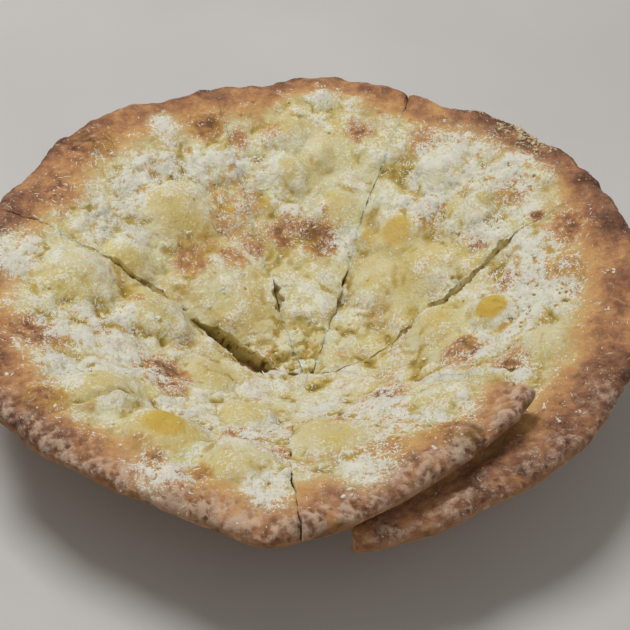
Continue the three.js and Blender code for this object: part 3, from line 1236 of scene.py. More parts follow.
@dataclass
class Skin:
    """Fine relief and browning of one slice: how much each point of its top is of each kind of surface."""

    part: Slice
    kin: Kin
    places: Places  # of its top
    rule: SkinRule = SkinRule()
    strewing: Strewing = Strewing()
    paleness: Paleness = Paleness()

    def __post_init__(self) -> None:
        """Find the kinds of surface, and lay on them all relief and browning."""
        self.rng = np.random.default_rng(self.rule.seed + self.kin.number)
        self.points = np.stack([self.places.x, self.places.y, self.places.high], 1)
        self.texture = Texture.at(self.points, self.rule)
        self.look = self._rim_look()
        self._find_domes()
        self._find_zones()
        self._brown()
        self._shape()
        self._tear_tip()
        self._raise_lips()
        self._add_blisters()
        self._add_pits()
        self._roughen_rim()

    def _rim_look(self) -> RimLook:
        """Look of the rim at each point, easing halfway to the neighbours' at the cuts."""
        parts = (self.part, self.kin.before, self.kin.after)
        own, before, after = (np.array(astuple(part.look))[:, None] for part in parts)
        to_before = 0.5 * fall(self.places.across, 0.0, 0.45)
        to_after = 0.5 * fall(spare(self.places.across), 0.0, 0.45)
        return RimLook(*(own + (before - own) * to_before + (after - own) * to_after))

    def _find_domes(self) -> None:
        """Find how far up a dome each point is, how yellow and how raised, and the creases."""
        rule, texture = self.rule, self.texture
        dome, yolk, button, crease = (np.zeros_like(self.places.x) for _ in range(4))
        for swelling in self.part.domes:
            bent = 1.4 * texture.clump + 1.6 * texture.lump
            bent = bent * spare(swelling.glow * bool(swelling.yolk), 0.7)
            gone = DISH.away(self.places.x, self.places.y, swelling) + bent
            outside = np.maximum(gone, 0.0)
            dome = np.maximum(dome, bump_share(outside, swelling.reach))
            ring = np.exp(-(((gone / swelling.reach - 0.92) / 0.1) ** 2))
            ring = ring * min(1.0, swelling.rise / 5.0)
            crease = np.maximum(crease, ring * smoothstep(texture.lump, -0.1, 0.45))
            cap = np.maximum(0.0, 1.0 - (outside / (rule.button_reach * swelling.reach)) ** 2)
            button = button + rule.button * swelling.rise * np.sqrt(cap)
            if swelling.yolk:
                sharp = swelling.glow**2
                middle = swelling.core * swelling.yolk
                spot = fall(gone, lerp(0.1, 0.75, sharp) * swelling.yolk, 1.2 * swelling.yolk)
                deep = fall(gone, lerp(0.2, 0.75, sharp) * middle, 1.15 * middle)
                yolk = np.maximum(yolk, swelling.glow * lerp(spot, deep, rule.deep_yolk))
        # Yellow on the dome's flanks, partly painted shade
        flank = rule.flank_yolk_and_shade * dome * spare(dome) * smoothstep(texture.broad, -0.3, 0.5)
        self.dome, self.yolk, self.button, self.crease = dome, np.maximum(yolk, flank), button, crease

    def _patches(self, mark: Mark, warp: Array, end: float = 1.2) -> Array:
        """Strongest of the family's patches of one kind.

        Args:
            mark: Which kind.
            warp: What bends the round outlines.
            end: Where a patch ends, as a share of its reach.

        Returns:
            A strength for each point.
        """
        strongest = np.zeros_like(self.places.x)
        for spot in (spot for part in self.kin.family for spot in getattr(part, mark.value)):
            away = DISH.away(self.places.x, self.places.y, spot) * (1.0 + warp)
            share = fall(away, 0.2 * spot.reach, end * spot.reach)
            strongest = np.maximum(strongest, spot.strength * share)
        return strongest

    def _find_zones(self) -> None:
        """Find where each kind of surface lies, from 0 to 1."""
        rule, texture, width = self.rule, self.texture, self.look.width
        broad, lump, clump = texture.broad, texture.lump, texture.clump
        yolk = np.maximum(self.yolk, self._patches(Mark.YOLKS, 0.4 * clump))
        patch = self._patches(Mark.TOASTS, 0.4 * clump + 0.2 * lump, rule.toast_end)
        soft = self._patches(Mark.SOFTS, 0.4 * clump + 0.3 * lump)
        white = self._patches(Mark.WHITES, 0.3 * clump) * spare(soft, 0.6)
        dome = np.maximum(self.dome, 0.75 * soft)
        smooth = smoothstep(dome, 0.1, 0.6)
        self.yolk, self.soft, self.white, self.dome, self.smooth = yolk, soft, white, dome, smooth
        self.melted = spare(white) * smoothstep(broad + 0.6 * lump + 0.3 * clump, -0.5, 0.5)

        line = self.places.from_rim + rule.rim_sway[0] * broad + rule.rim_sway[1] * clump
        self.rim = fall(line, rule.rim_fade[0] * width, rule.rim_fade[1] * width)
        self.bare = fall(line, rule.bare_fade[0] * width, rule.bare_fade[1] * width)
        inside = 1.0 - 0.9 * self.bare * spare(white, 0.6)
        thin = smoothstep(texture.thin, -0.05, 0.5)
        self.crumbly = unit(0.8 * white + 0.6 * thin) * spare(smooth, 0.6) * spare(yolk, 0.6) * inside
        self.gaps = smoothstep(texture.gaps + 0.2 * lump, 0.0, 0.35) * self.crumbly
        self.heap = texture.heap * np.maximum(self.crumbly, 0.5 * spare(self.rim) * self.bare)
        self.strewn = self.crumbly * smoothstep(clump, -0.3, 0.5)
        self.sprinkled = self.bare * smoothstep(clump + 0.5 * lump, 0.15, 0.6)
        self.tan = thin * spare(white, 0.5) * spare(smooth, 0.8) * spare(yolk, 0.6) * inside
        self.browned = smoothstep(patch * (1.0 + 0.5 * texture.gaps), 0.02, 0.5)
        self.patch = patch * np.clip(1.0 + 0.5 * texture.gaps + 0.3 * clump, 0.5, 1.3)
        self.core = smoothstep(self.patch, 0.4, 0.65)

        cover = inside * spare(self.browned, 0.85) * spare(self.gaps, 0.8)
        cover = cover * spare(self.crumbly, 0.25) * spare(self.tan, 0.6)
        self.cover = unit(cover + 0.2 * dome * spare(self.rim) * spare(self.browned) + 0.4 * self.heap)
        self.film = self.cover * spare(self.rim)
        self.grainy = unit(self.film + 0.5 * self.crumbly) * spare(smooth, 0.7) * spare(yolk, 0.6)

    def _brown(self) -> None:
        """Brown the rim, the toasted patches and the crust that shows between the cheese."""
        rule, texture, from_rim = self.rule, self.texture, self.places.from_rim
        brown = self.look.toast + 0.34 * texture.broad + 0.3 * texture.lump + 0.14 * texture.clump
        # Browner towards the outer edge, partly painted shade
        brown = brown + rule.edge_brown_and_shade * fall(from_rim, 0.0, 8.0)
        brown = brown - rule.inner_pale * smoothstep(from_rim, 0.5 * self.look.width, 1.3 * self.look.width)
        patch = rule.patch_toast * self.patch**rule.patch_power * (1.0 + 0.3 * texture.fine)
        tan = self.tan * (rule.tan_toast + 0.15 * texture.clump)
        gaps = self.gaps * (rule.gap_toast + 0.15 * texture.broad)
        self.toast = np.maximum.reduce((self.rim * brown, patch, tan, gaps))

    def _shape(self) -> None:
        """Raise lumps, puffs and grains, sink the creases between them, and paint shade into the low places.
        """
        rule, texture = self.rule, self.texture
        puffed = unit(self.film + 0.4 * self.crumbly) * (1.0 - 0.5 * self.smooth - 0.25 * self.soft)
        relief = rule.lump_height * texture.lump * spare(self.dome, 0.5) * spare(self.rim, 0.3)
        relief = relief + self.button + rule.heap_height * self.heap
        relief = relief + rule.puff_height * (texture.puff - rule.puff_level) * puffed
        relief = relief - rule.crease_depth * self.crease + rule.fine_height * texture.fine
        self.relief = relief + rule.grain_height * (texture.grain - 0.5) * lerp(0.25, 1.0, self.grainy)
        # Painted shade: darker between the puffs, at the foot of domes and where the relief is low
        hollows = (
            rule.puff_shade * fall(texture.puff, 0.08, 0.43) * puffed * fall(texture.lump, -0.2, 0.5),
            rule.crease_shade * self.crease * spare(self.rim),
            rule.low_shade * smoothstep(-self.relief, 0.2, 1.7) * self.film,
        )
        self.hollow = np.maximum.reduce(hollows)

    def _tear_tip(self) -> None:
        """Break the top near the tip to crumb, where the slice has some."""
        rule, texture, far, noise = self.rule, self.texture, self.part.crumbled, Noise(self.rule.texture_seed)
        self.torn = np.zeros_like(self.relief)
        if not far:
            return
        self.torn = fall(self.places.from_tip + rule.crumb_sway * texture.lump, 0.35 * far, far)
        cracks = fall(texture.puff, 0.08, 0.4)
        holes = smoothstep(noise.fractal(self.points + 900.0, rule.crumb_length, 3), 0.12, 0.45)
        bent = self.points + 950.0 + 1.5 * texture.fine[:, None]
        away, block = noise.cells(bent, rule.block_length)
        seams = smoothstep(away, 0.52, 0.72)
        sunk = rule.crumb_depth * (0.5 * holes + 0.7 * cracks + 0.5 * seams)
        sunk = sunk - rule.block_height * (block - 0.5)
        # Painted shade in the crumb's holes, cracks and seams
        hollow = unit(0.4 * holes + 0.35 * cracks + 0.55 * seams)
        self.relief = self.relief - self.torn * sunk
        self.hollow = np.maximum(self.hollow, self.torn * hollow)

    def _raise_lips(self) -> None:
        """Raise or sink the top along its cuts, with painted shade where it sinks."""
        places, texture, rule = self.places, self.texture, self.rule
        lip = self.part.beside(places.across, *self.part.lips) * smoothstep(places.from_rim, *rule.lip_fade)
        lip = lip * fall(places.to_cut, 0.0, rule.lip_width)
        lip = lip * smoothstep(texture.broad + 0.4 * texture.lump, -0.7, 0.1)
        # Painted shade where the top sinks
        sunk = np.clip(-lip, 0.0, 0.8) * smoothstep(texture.clump + texture.lump, -0.5, 0.4)
        self.relief = self.relief + lip
        self.hollow = np.maximum(self.hollow, sunk)

    def _scatter(self, count: int) -> Pair:
        """Random plan places on the part of the slice that shows.

        Args:
            count: How many.

        Returns:
            Places along X and along Y.
        """
        across = lerp(max(0.05, self.part.covered), 0.95, self.rng.random(count))
        share = np.sqrt(lerp(0.25**2, 0.97**2, self.rng.random(count)))
        angle = np.radians(lerp(self.part.first.bearing, self.part.end, across))
        return DISH.plan(angle, self.part.rim_distance(across) * share)

    def _add_blisters(self) -> None:
        """Scatter blisters, some of them browned."""
        rule, places = self.rule, self.places
        kept = smoothstep(places.to_cut, 0.0, rule.blister_margin)
        for cx, cy in zip(*self._scatter(rule.blisters)):
            reach = lerp(*rule.blister_reach, self.rng.random() ** 2)
            swell = bump_share(np.hypot(places.x - cx, places.y - cy), reach) * kept
            rise = lerp(*rule.blister_rise, self.rng.random()) * reach / rule.blister_reach[1]
            self.relief = self.relief + swell * rise
            if self.rng.random() < rule.blisters_browned:
                self.toast = np.maximum(self.toast, 0.5 * swell)
                self.cover = self.cover * spare(swell, 0.6)

    def _add_pits(self) -> None:
        """Sink small pits, scattered and in the pitted patches, and darken them with painted shade."""
        rule, rng, places = self.rule, self.rng, self.places
        px, py = self._scatter(rule.pits)
        for spot in self.part.pitted:
            cx, cy = DISH.plan(math.radians(spot.bearing), spot.distance)
            turn = 2.0 * math.pi * rng.random(rule.pits_in_patch)
            away = spot.reach * np.sqrt(rng.random(rule.pits_in_patch))
            px = np.append(px, cx + away * np.cos(turn))
            py = np.append(py, cy + away * np.sin(turn))
        dips, dents = np.zeros_like(places.x), np.zeros_like(places.x)
        for cx, cy in zip(px, py):
            reach = lerp(*rule.pit_reach, rng.random() ** 2)
            dip = bump_share(np.hypot(places.x - cx, places.y - cy) * (1.0 + 0.5 * self.texture.fine), reach)
            dips = np.maximum(dips, dip * lerp(*rule.pit_depth, rng.random()))
            dents = np.maximum(dents, np.minimum(1.0, 1.3 * dip))
        # Painted shade inside the pits, also darker on the rim
        dents = dents * spare(self.yolk)
        self.relief = self.relief - dips * spare(self.yolk)
        self.hollow = np.maximum(self.hollow, dents * spare(self.rim, 0.9))
        self.toast = self.toast + 0.3 * dents * self.rim

    def _roughen_rim(self) -> None:
        """Roughen the rim."""
        rule, rough, crater = self.rule, self.texture.rough, self.texture.crater
        uneven = self.rim * self.look.rough
        height = rule.rough_height * rough - rule.crater_depth * crater + rule.rough_lump * self.texture.lump
        self.relief = self.relief + uneven * height
        # Darker in the craters and paler on the rough crests
        self.toast = self.toast + uneven * 0.1 * (crater - rough)

    def density(self) -> Array:
        """How thickly loose cheese lies on the top."""
        rule = self.strewing
        density = (
            rule.film * self.film * spare(self.smooth, 0.5)
            + rule.strewn * self.strewn
            + rule.heap * self.heap
            + rule.browned * self.browned * spare(self.core, 0.7)
            + rule.shut * self.film * fall(self.places.to_cut, *rule.beside_cut)
            + rule.bare * self.sprinkled
        )
        density = density * spare(self.rim * spare(self.white), 0.6)
        return density * spare(self.torn, 0.8) * spare(self.yolk, 0.7)

    def _pale(self) -> Array:
        """How white the shreds are."""
        rule = self.paleness
        # Whiter on raised relief and less white low down: partly where the dry cheese lies, partly painted
        # light and shade
        raised = 0.6 * (self.relief - 0.7 * self.button) + 0.5 * (self.texture.puff - 0.5) - 0.25 * self.dome
        return (
            rule.everywhere
            + rule.crests * np.clip(raised, -1.0, 1.0) * unit(self.film + self.crumbly)
            + rule.strewn * self.strewn
            + rule.white * self.white
            + rule.browned * self.browned
            + rule.core * self.core
            + rule.sprinkled * self.sprinkled * spare(self.rim, 0.5)
            + rule.yolk * self.yolk
            + rule.gaps * self.gaps
            + rule.rim * self.rim * spare(self.white)
            + rule.torn * self.torn
            + rule.hollow * self.hollow
        )

    def layers(self) -> dict[Layer, Array]:
        """What the points of the top carry."""
        rule, texture = self.rule, self.texture
        melted = rule.melted_yolk * self.melted * self.film * spare(self.torn, 0.7)
        crest = 0.6 * texture.rough - 0.5 * texture.crater + 0.5 * texture.clump + 0.3 * texture.lump
        dusted = rule.flour_share[0] + rule.flour_share[1] * fall(self.places.from_rim, *rule.flour_fade)
        return {
            Layer.TOAST: self.toast,
            Layer.COVER: self.cover + 0.35 * (texture.grain - 0.5) * self.grainy,
            Layer.YOLK: np.maximum(self.yolk * spare(self.rim, 0.5), melted),
            Layer.HOLLOW: self.hollow,
            Layer.FLOUR: self.look.flour * self.rim * dusted * smoothstep(crest, -0.7, 0.6),
            Layer.WHITE: self._pale(),
        }

    def wall(self, points: Array, depth: Array) -> Pair:
        """Relief and painted shade of the torn crumb.

        Args:
            points: Points of the cut faces.
            depth: Share of the way down from top to underside.

        Returns:
            Relief, never outwards, and painted shade, darker in holes and further down.
        """
        noise = Noise(self.rule.wall_seed + self.kin.number)
        holes = smoothstep(noise.fractal(points, self.rule.crumb_length, 3), 0.12, 0.5)
        ragged = 0.5 + 0.5 * noise.fractal(points, 3.0, 2)
        sunk = np.sin(math.pi * unit(depth)) * unit(0.6 * holes + 0.4 * ragged)
        # Painted shade, darker in holes and further down the cut
        return -0.6 * self.rule.crumb_depth * sunk, unit(0.15 + 0.4 * holes + 0.5 * depth)

    def under(self, points: Array) -> Array:
        """Relief of the underside."""
        noise = Noise(self.rule.under_seed + self.kin.number)
        return self.rule.under_height * noise.fractal(points, self.rule.under_length, 3)


@dataclass
class Sheet:
    """Rows of vertex numbers from tip to rim, with the run and the share across of each vertex."""

    rows: list[Array]
    run: Array
    across: Array

    @classmethod
    def of(cls, runs: Array, counts: Array, start: int) -> "Sheet":
        """Lay the rows out.

        Args:
            runs: Run of each row.
            counts: Columns of each row.
            start: First vertex number.

        Returns:
            The sheet.
        """
        ends = np.cumsum(counts + 1) + start
        rows = [np.arange(end - count - 1, end) for end, count in zip(ends, counts)]
        across = np.concatenate([np.linspace(0.0, 1.0, count + 1) for count in counts])
        return cls(rows, np.repeat(runs, counts + 1), across)

    def outline(self, nose: Array) -> Array:
        """Vertex numbers along the cuts: in from the nose's start, over the tip, and out to its end.

        Args:
            nose: The row at the nose's end.

        Returns:
            The numbers in order.
        """
        inward = [nose[0]] + [row[0] for row in reversed(self.rows) if row is not nose]
        outward = [row[-1] for row in self.rows if row is not nose] + [nose[-1]]
        return np.concatenate([inward, self.rows[0][1:-1], outward])


@dataclass
class Wall:
    """Cut faces of a slice, in lines of vertices from its top to its underside."""

    lines: list[Array]  # the top's first and the underside's last
    points: Array  # of the lines between, one line after another
    depth: Array  # share of the way down
    opened: Array  # how open the cut is above each point

    def below(self, values: Array) -> Array:
        """Values of the top, carried straight down to the points."""
        return np.tile(values[self.lines[0][1:-1]], len(self.lines) - 2)


@dataclass
class SliceBuilder:
    """Makes one slice as a closed mesh with fine relief."""

    part: Slice
    kin: Kin
    nose_rows: int = 14
    slope_stretch: float = 1.12  # length of the slope over its plan
    wall_shares: tuple[float, ...] = (0.06, 0.11, 0.16, 0.21, 0.32, 0.46, 0.62, 0.8)  # of the wall's rows
    groove_floor: Span = (0.08, 0.18)  # depths between which a narrow cut closes
    narrow_floor: float = 0.3  # how much shallower the narrowest cracks are
    narrow_open: Span = (0.15, 0.9)  # how open the narrowest cracks and the full ones are
    wide_bite: Span = (0.3, 2.5)
    crumb_open: Span = (0.03, 0.25)
    gap_curve: float = 1.3  # how a wide gap narrows downwards
    shared_width: float = 7.0  # beside a cut, where relief rises off the plain dish
    rim_crumb: Span = (2.0, 24.0)  # distances from the rim over which crumb shows
    tip_shade: Span = (18.0, 40.0)
    coarsest: int = 8  # how many times fewer columns the tip has
    halving: float = 1.9
    fan_gap: float = 4.0  # between the parts of the bake map
    wall_row: float = 2.0
    bake_margin: float = 0.01

    def _row_plan(self) -> Pair:
        """Runs of the rows from tip to nose, and how many columns each row has."""
        rim = float(self.part.rim_distance(np.array([0.5]))[0])
        slope_rows = 2 * round((rim - DISH.nose_reach) * self.slope_stretch / self.part.step / 2.0)
        nose_runs = 1.0 + np.arange(self.nose_rows + 1) / self.nose_rows
        runs = np.concatenate([np.arange(slope_rows) / slope_rows, nose_runs])
        width = rim * math.radians(self.part.span)
        columns = 2 * self.coarsest * round(width / self.part.step / (2 * self.coarsest))
        pairs = np.maximum(runs[np.arange(len(runs)) // 2 * 2], 1e-3)
        halvings = np.clip(np.floor(-np.log2(pairs * self.halving)) + 1, 0, math.log2(self.coarsest))
        return runs, columns >> halvings.astype(int)

    def _wall(self, points: Array, sheet: Sheet, upper: Array, lower: Array) -> Wall:
        """Lay the cut faces between the top and the underside.

        Args:
            points: Points of the top and the underside.
            sheet: Rows of the top.
            upper: Outline of the top.
            lower: Outline of the underside, with half as many steps.

        Returns:
            The wall.
        """
        part, across = self.part, sheet.across[upper]
        steps = np.arange(len(upper))
        foot = np.stack([np.interp(steps, steps[::2], points[lower, axis]) for axis in range(3)], 1)
        beside = part.run_distance(sheet.run[upper], across)
        wide = smoothstep(part.bitten_at(beside, across), *self.wide_bite)
        opened = part.open_at(beside, across)
        steep = lerp(self.narrow_floor, 1.0, smoothstep(opened, *self.narrow_open))
        lines, between = [upper], []
        size = len(upper) - 2
        for number, share in enumerate(self.wall_shares):
            start = len(points) + number * size
            lines.append(np.concatenate([upper[:1], np.arange(start, start + size), upper[-1:]]))
            closed = smoothstep(share / steep, *self.groove_floor)
            sideways = lerp(closed, 1.0 - (1.0 - share) ** self.gap_curve, wide)
            shares = np.stack([sideways, sideways, np.full_like(sideways, share)], 1)
            between.append(lerp(points[upper], foot, shares)[1:-1])
        opened = np.maximum(wide, smoothstep(opened, *self.crumb_open))[1:-1]
        depth = np.repeat(self.wall_shares, size)
        return Wall(lines + [lower], np.concatenate(between), depth, np.tile(opened, len(self.wall_shares)))

    def _layers(
        self, layers: dict[Layer, Array], top: Places, wall: Wall, wall_shade: Array, under_size: int
    ) -> dict[Layer, Array]:
        """Carry the layers of the top on over the underside and the cut faces.

        Args:
            layers: Layers of the top.
            top: Points of the top.
            wall: The cut faces.
            wall_shade: Their painted shade.
            under_size: How many points the underside has.

        Returns:
            The layers of all points.
        """
        inner = wall.below(smoothstep(top.from_rim, *self.rim_crumb))
        near_tip = wall.below(fall(top.from_tip, *self.tip_shade))
        tails = {layer: wall.below(values) for layer, values in layers.items()}
        # Painted shade down the cut faces, deeper near the tip
        tails[Layer.HOLLOW] = np.maximum(wall_shade, near_tip * smoothstep(wall.depth, 0.4, 0.75)) * inner
        tails[Layer.WHITE] = np.zeros_like(wall_shade)
        tails[Layer.UNDER] = smoothstep(wall.depth, 0.7, 1.0)
        opened = np.maximum(wall.opened, smoothstep(wall.depth, 0.2, 0.5))
        tails[Layer.CRUMB] = smoothstep(wall.depth, 0.0, 0.22) * opened * inner
        layers[Layer.UNDER] = 0.6 * fall(top.from_rim, 0.0, 0.8)
        layers[Layer.CRUMB] = np.zeros_like(top.x)
        return {
            layer: np.concatenate([values, np.full(under_size, float(layer is Layer.UNDER)), tails[layer]])
            for layer, values in layers.items()
        }

    def build(self, material: bpy.types.Material) -> tuple[bpy.types.Object, Bed]:
        """Make the slice.

        Args:
            material: Finish of the bread.

        Returns:
            The object, and its top as a bed for loose cheese.
        """
        part = self.part
        runs, counts = self._row_plan()
        over = Sheet.of(runs, counts, 0)
        top = part.places(over.run, over.across)
        size = len(top.x)
        under = Sheet.of(runs[:-1:2], counts[:-1:2] // 2, size)
        low = part.places(under.run, under.across, under=True)
        under_points = np.stack([low.x, low.y, low.low], 1)
        points = np.concatenate([np.stack([top.x, top.y, top.high], 1), under_points])
        nose = over.rows[-1]
        upper, lower = over.outline(nose), under.outline(nose)
        wall = self._wall(points, over, upper, lower)
        points = np.concatenate([points, wall.points])

        top_faces = stitch_rows(over.rows)
        under_faces = stitch_rows(under.rows + [nose])[:, ::-1]
        wall_faces = stitch_rows(wall.lines)[:, ::-1]
        wall_faces = wall_faces[np.all(wall_faces != np.roll(wall_faces, 1, 1), 1)]
        faces = (top_faces, under_faces, wall_faces)
        triangles = np.concatenate(faces)

        skin = Skin(part, self.kin, top)
        wall_relief, wall_shade = skin.wall(wall.points, wall.depth)
        normals = vertex_normals(points, triangles)
        shared = fall(top.to_cut, 1.0, self.shared_width)
        shared = shared * smoothstep(top.from_rim, DISH.nose_reach, 1.6 * DISH.nose_reach)
        own = vertex_normals(points, top_faces)[:size]
        normals[:size] = lerp(own, DISH.normals(top.x, top.y), shared[:, None])
        relief = np.concatenate([skin.relief, skin.under(under_points), wall_relief])
        points = points + normals * relief[:, None]
        points[:, 2] = np.maximum(points[:, 2], 0.0)

        layers = self._layers(skin.layers(), top, wall, wall_shade, len(under_points))
        bake = self._bake_places(points, over, under, wall, faces)
        placed, ridges = DISH.to_part(points), (upper, lower)
        piece = make_object(f"{part.name}_bread", placed, triangles, layers, material, bake, ridges=ridges)
        normals = vertex_normals(points, top_faces)[:size]
        return piece, Bed(points[:size], normals, top_faces, skin.density(), skin.toast)

    def _bake_places(
        self, points: Array, over: Sheet, under: Sheet, wall: Wall, faces: tuple[Array, Array, Array]
    ) -> Array:
        """Lay the surface flat for the bake map: two fans side by side, and the walls as a strip.

        Args:
            points: Vertices.
            over: Rows of the top, the nose last.
            under: Rows of the underside.
            wall: The cut faces.
            faces: Triangles of the top, the underside and the walls.

        Returns:
            A place from 0 to 1 for each face corner.
        """
        flat = {region: np.zeros((len(points), 2)) for region in Region}
        fan = math.radians(self.part.span)

        def spread(rows: list[Array], region: Region) -> float:
            """Lay rows as arcs of a fan.

            Args:
                rows: Vertex numbers, from tip to rim.
                region: Which face they are of.

            Returns:
                Radius of the fan.
            """
            middles = np.array([points[row[len(row) // 2]] for row in rows])
            radii = self.part.tip_distance + lengths_along(middles)
            for row, radius in zip(rows, radii):
                angle = fan * (np.linspace(0.0, 1.0, len(row)) - 0.5)
                flat[region][row] = np.stack([radius * np.sin(angle), radius * np.cos(angle)], 1)
            return float(radii[-1])

        tall = max(spread(over.rows, Region.TOP), spread(under.rows + [over.rows[-1]], Region.UNDER))
        beside = np.array([tall * math.tan(fan / 2.0) + 2.0 * self.fan_gap, tall])
        flat[Region.UNDER] = beside - flat[Region.UNDER]
        along = lengths_along(points[wall.lines[0]])
        for number, line in enumerate(wall.lines):
            down = tall + self.fan_gap + self.wall_row * number
            reach = along if len(line) == len(along) else along[::2]
            flat[Region.WALL][line] = np.stack([reach - along[-1] / 2.0, np.full(len(line), down)], 1)
        corners = np.concatenate([flat[region][face] for region, face in zip(Region, faces)])
        least = corners.reshape(-1, 2).min(0)
        size = (corners.reshape(-1, 2).max(0) - least).max()
        return (corners - least) / size * (1.0 - 2.0 * self.bake_margin) + self.bake_margin


@dataclass(frozen=True)
class BitRule:
    """How the largest bits of cheese are strewn, as on the solids."""

    per_slice: int = 12
    least: float = 1.6
    most: float = 2.6
    flatness: float = 0.62
    sunk: float = 0.25
    margin: float = 0.14
    span_from: float = 0.3
    span_to: float = 0.93
    tries: int = 8
    seed: int = 11
    width: Span = (0.6, 0.9)  # over length


@dataclass(frozen=True)
class Strand:
    """One kind of strand of grated cheese."""

    name: str
    count: int
    longest: float
    seed: int
    rings: tuple[float, ...]  # where it has its rings, from -0.5 to 0.5


@dataclass
class LooseCheese:
    """Cheese that lies on the slices: shreds, flecks, fine crumbs and large bits."""

    beds: list[Bed]
    material: bpy.types.Material
    strands: tuple[Strand, ...] = (
        Strand("cheese_shreds", 8000, 3.6, 71, (-0.5, 0.0, 0.5)),
        Strand("cheese_flecks", 11000, 1.8, 74, (-0.5, 0.5)),
    )
    strand_power: float = 1.6  # how strongly strands gather where cheese lies thickly
    shortest: float = 0.9
    strand_radius: Span = (0.15, 0.36)
    crumbs: int = 6000
    crumb_seed: int = 72
    crumb_power: float = 1.2
    crumb_radius: Span = (0.2, 0.65)
    crumb_stretch: Span = (0.7, 1.35)
    bits_seed: int = 73
    rim_bits: int = 70
    rim_bit_radius: Span = (0.7, 1.8)
    rim_bit_bearing: Span = (50.0, 4.5)  # middle and spread
    rim_bit_inset: Span = (2.0, 4.0)  # least, and spread
    rim_bit_brown: float = 0.65
    lumps_per_bit: int = 7
    lump_spread: tuple[float, float, float] = (0.5, 0.5, 0.2)
    lump_size: Span = (0.25, 0.55)
    softness: float = 0.65
    bit_rule: BitRule = BitRule()

    def make(self, parts: tuple[Slice, ...]) -> list[bpy.types.Object]:
        """All the cheese on some slices, one mesh for each kind."""
        return [*(self._strands(kind) for kind in self.strands), self._crumbs(), self._bits(parts)]

    def _strew(self, count: int, rng: np.random.Generator, power: float) -> tuple[Array, Array, Array]:
        """Random places on the beds.

        Args:
            count: How many.
            rng: Random numbers.
            power: How strongly they gather where cheese lies thickly.

        Returns:
            Points, normals and the browning at each.
        """
        starts = np.cumsum([0] + [len(bed.points) for bed in self.beds[:-1]])
        names = ("points", "normals", "toast", "density")
        joined = (np.concatenate([getattr(bed, name) for bed in self.beds]) for name in names)
        points, normals, toast, density = joined
        triangles = np.concatenate([bed.triangles + start for bed, start in zip(self.beds, starts)])
        a, b, c = (points[triangles[:, corner]] for corner in range(3))
        weight = np.linalg.norm(np.cross(b - a, c - a), axis=1) * (density**power)[triangles].mean(1)
        chosen = triangles[rng.choice(len(triangles), count, p=weight / weight.sum())]
        shares = rng.dirichlet((1.0, 1.0, 1.0), count)
        normal = np.einsum("ni,nij->nj", shares, normals[chosen])
        place = np.einsum("ni,nij->nj", shares, points[chosen])
        return place, unit_rows(normal), np.einsum("ni,ni->n", shares, toast[chosen])

    @staticmethod
    def _tangents(normal: Array, rng: np.random.Generator) -> Pair:
        """Random directions along a surface.

        Args:
            normal: Its normals.
            rng: Random numbers.

        Returns:
            A direction at each normal, and the one across it.
        """
        guess = rng.normal(size=normal.shape)
        along = unit_rows(guess - normal * (guess * normal).sum(1, keepdims=True))
        return along, np.cross(normal, along)

    def _join(
        self, name: str, grains: Array, faces: Array, tone: Array, brown: Array, below: Array | None = None
    ) -> bpy.types.Object:
        """Join grains of one build to a mesh.

        Args:
            name: Name of the mesh.
            grains: Points, by grain, point and axis.
            faces: Triangles of one grain.
            tone: How creamy each grain is.
            brown: How brown each grain is.
            below: Normals of the bread below each grain, towards which soft cheese is shaded.

        Returns:
            The object.
        """
        count, size = grains.shape[:2]
        points = grains.reshape(-1, 3)
        triangles = (np.arange(count)[:, None, None] * size + np.array(faces)[None]).reshape(-1, 3)
        layers = {Layer.TONE: np.repeat(tone, size), Layer.TOAST: np.repeat(brown, size)}
        shading = None
        if below is not None:
            own = vertex_normals(points, triangles)
            shading = unit_rows(lerp(own, np.repeat(below, size, 0), self.softness))
        return make_object(name, DISH.to_part(points), triangles, layers, self.material, shading=shading)

    def _strands(self, kind: Strand) -> bpy.types.Object:
        """Thin three-sided strands of one kind.

        Args:
            kind: Their name, number and size.

        Returns:
            The object.
        """
        rng, count = np.random.default_rng(kind.seed), kind.count
        place, normal, brown = self._strew(count, rng, self.strand_power)
        along, side = self._tangents(normal, rng)
        length = lerp(self.shortest, kind.longest, rng.random(count) ** 1.8)[:, None]
        thick = lerp(*self.strand_radius, rng.random(count) ** 1.3)[:, None]
        tilt = rng.normal(0.0, 0.1, count)[:, None]
        bow = rng.normal(0.0, 0.16, count)[:, None]
        sections = []
        for share in kind.rings:
            slim = 1.0 - 1.8 * share**2
            raised = 0.1 * thick + length * (0.5 - 2.0 * share**2) * 0.03 + tilt * share * length
            centre = place + normal * raised
            centre = centre + along * length * share + side * bow * length * (1.0 - 4.0 * share**2)
            for turn in (2.0 * math.pi * third / 3.0 for third in range(3)):
                corner = normal * math.cos(turn) * 0.8 + side * math.sin(turn)
                sections.append(centre + thick * slim * corner)
        last = len(sections) - 3
        faces = [(0, 1, 2), (last, last + 2, last + 1)]
        for ring in range(0, last, 3):
            for corner in range(3):
                a, b = ring + corner, ring + (corner + 1) % 3
                faces += [(a, b + 3, b), (a, a + 3, b + 3)]
        return self._join(kind.name, np.stack(sections, 1), faces, rng.random(count), brown, normal)

    def _crumbs(self) -> bpy.types.Object:
        """Fine crumbs, as small eight-sided grains."""
        rng, count = np.random.default_rng(self.crumb_seed), self.crumbs
        place, normal, brown = self._strew(count, rng, self.crumb_power)
        along, side = self._tangents(normal, rng)
        radius = lerp(*self.crumb_radius, rng.random(count) ** 2.2)[:, None]
        stretch = lerp(*self.crumb_stretch, rng.random((count, 3)))
        centre = place + normal * radius * 0.15
        axes = (along, -along, side, -side, normal, -normal)
        ends = [centre + axis * radius * stretch[:, [number // 2]] for number, axis in enumerate(axes)]
        faces = [(0, 2, 4), (2, 1, 4), (1, 3, 4), (3, 0, 4), (2, 0, 5), (1, 2, 5), (3, 1, 5), (0, 3, 5)]
        return self._join("cheese_crumbs", np.stack(ends, 1), faces, rng.random(count), brown, normal)

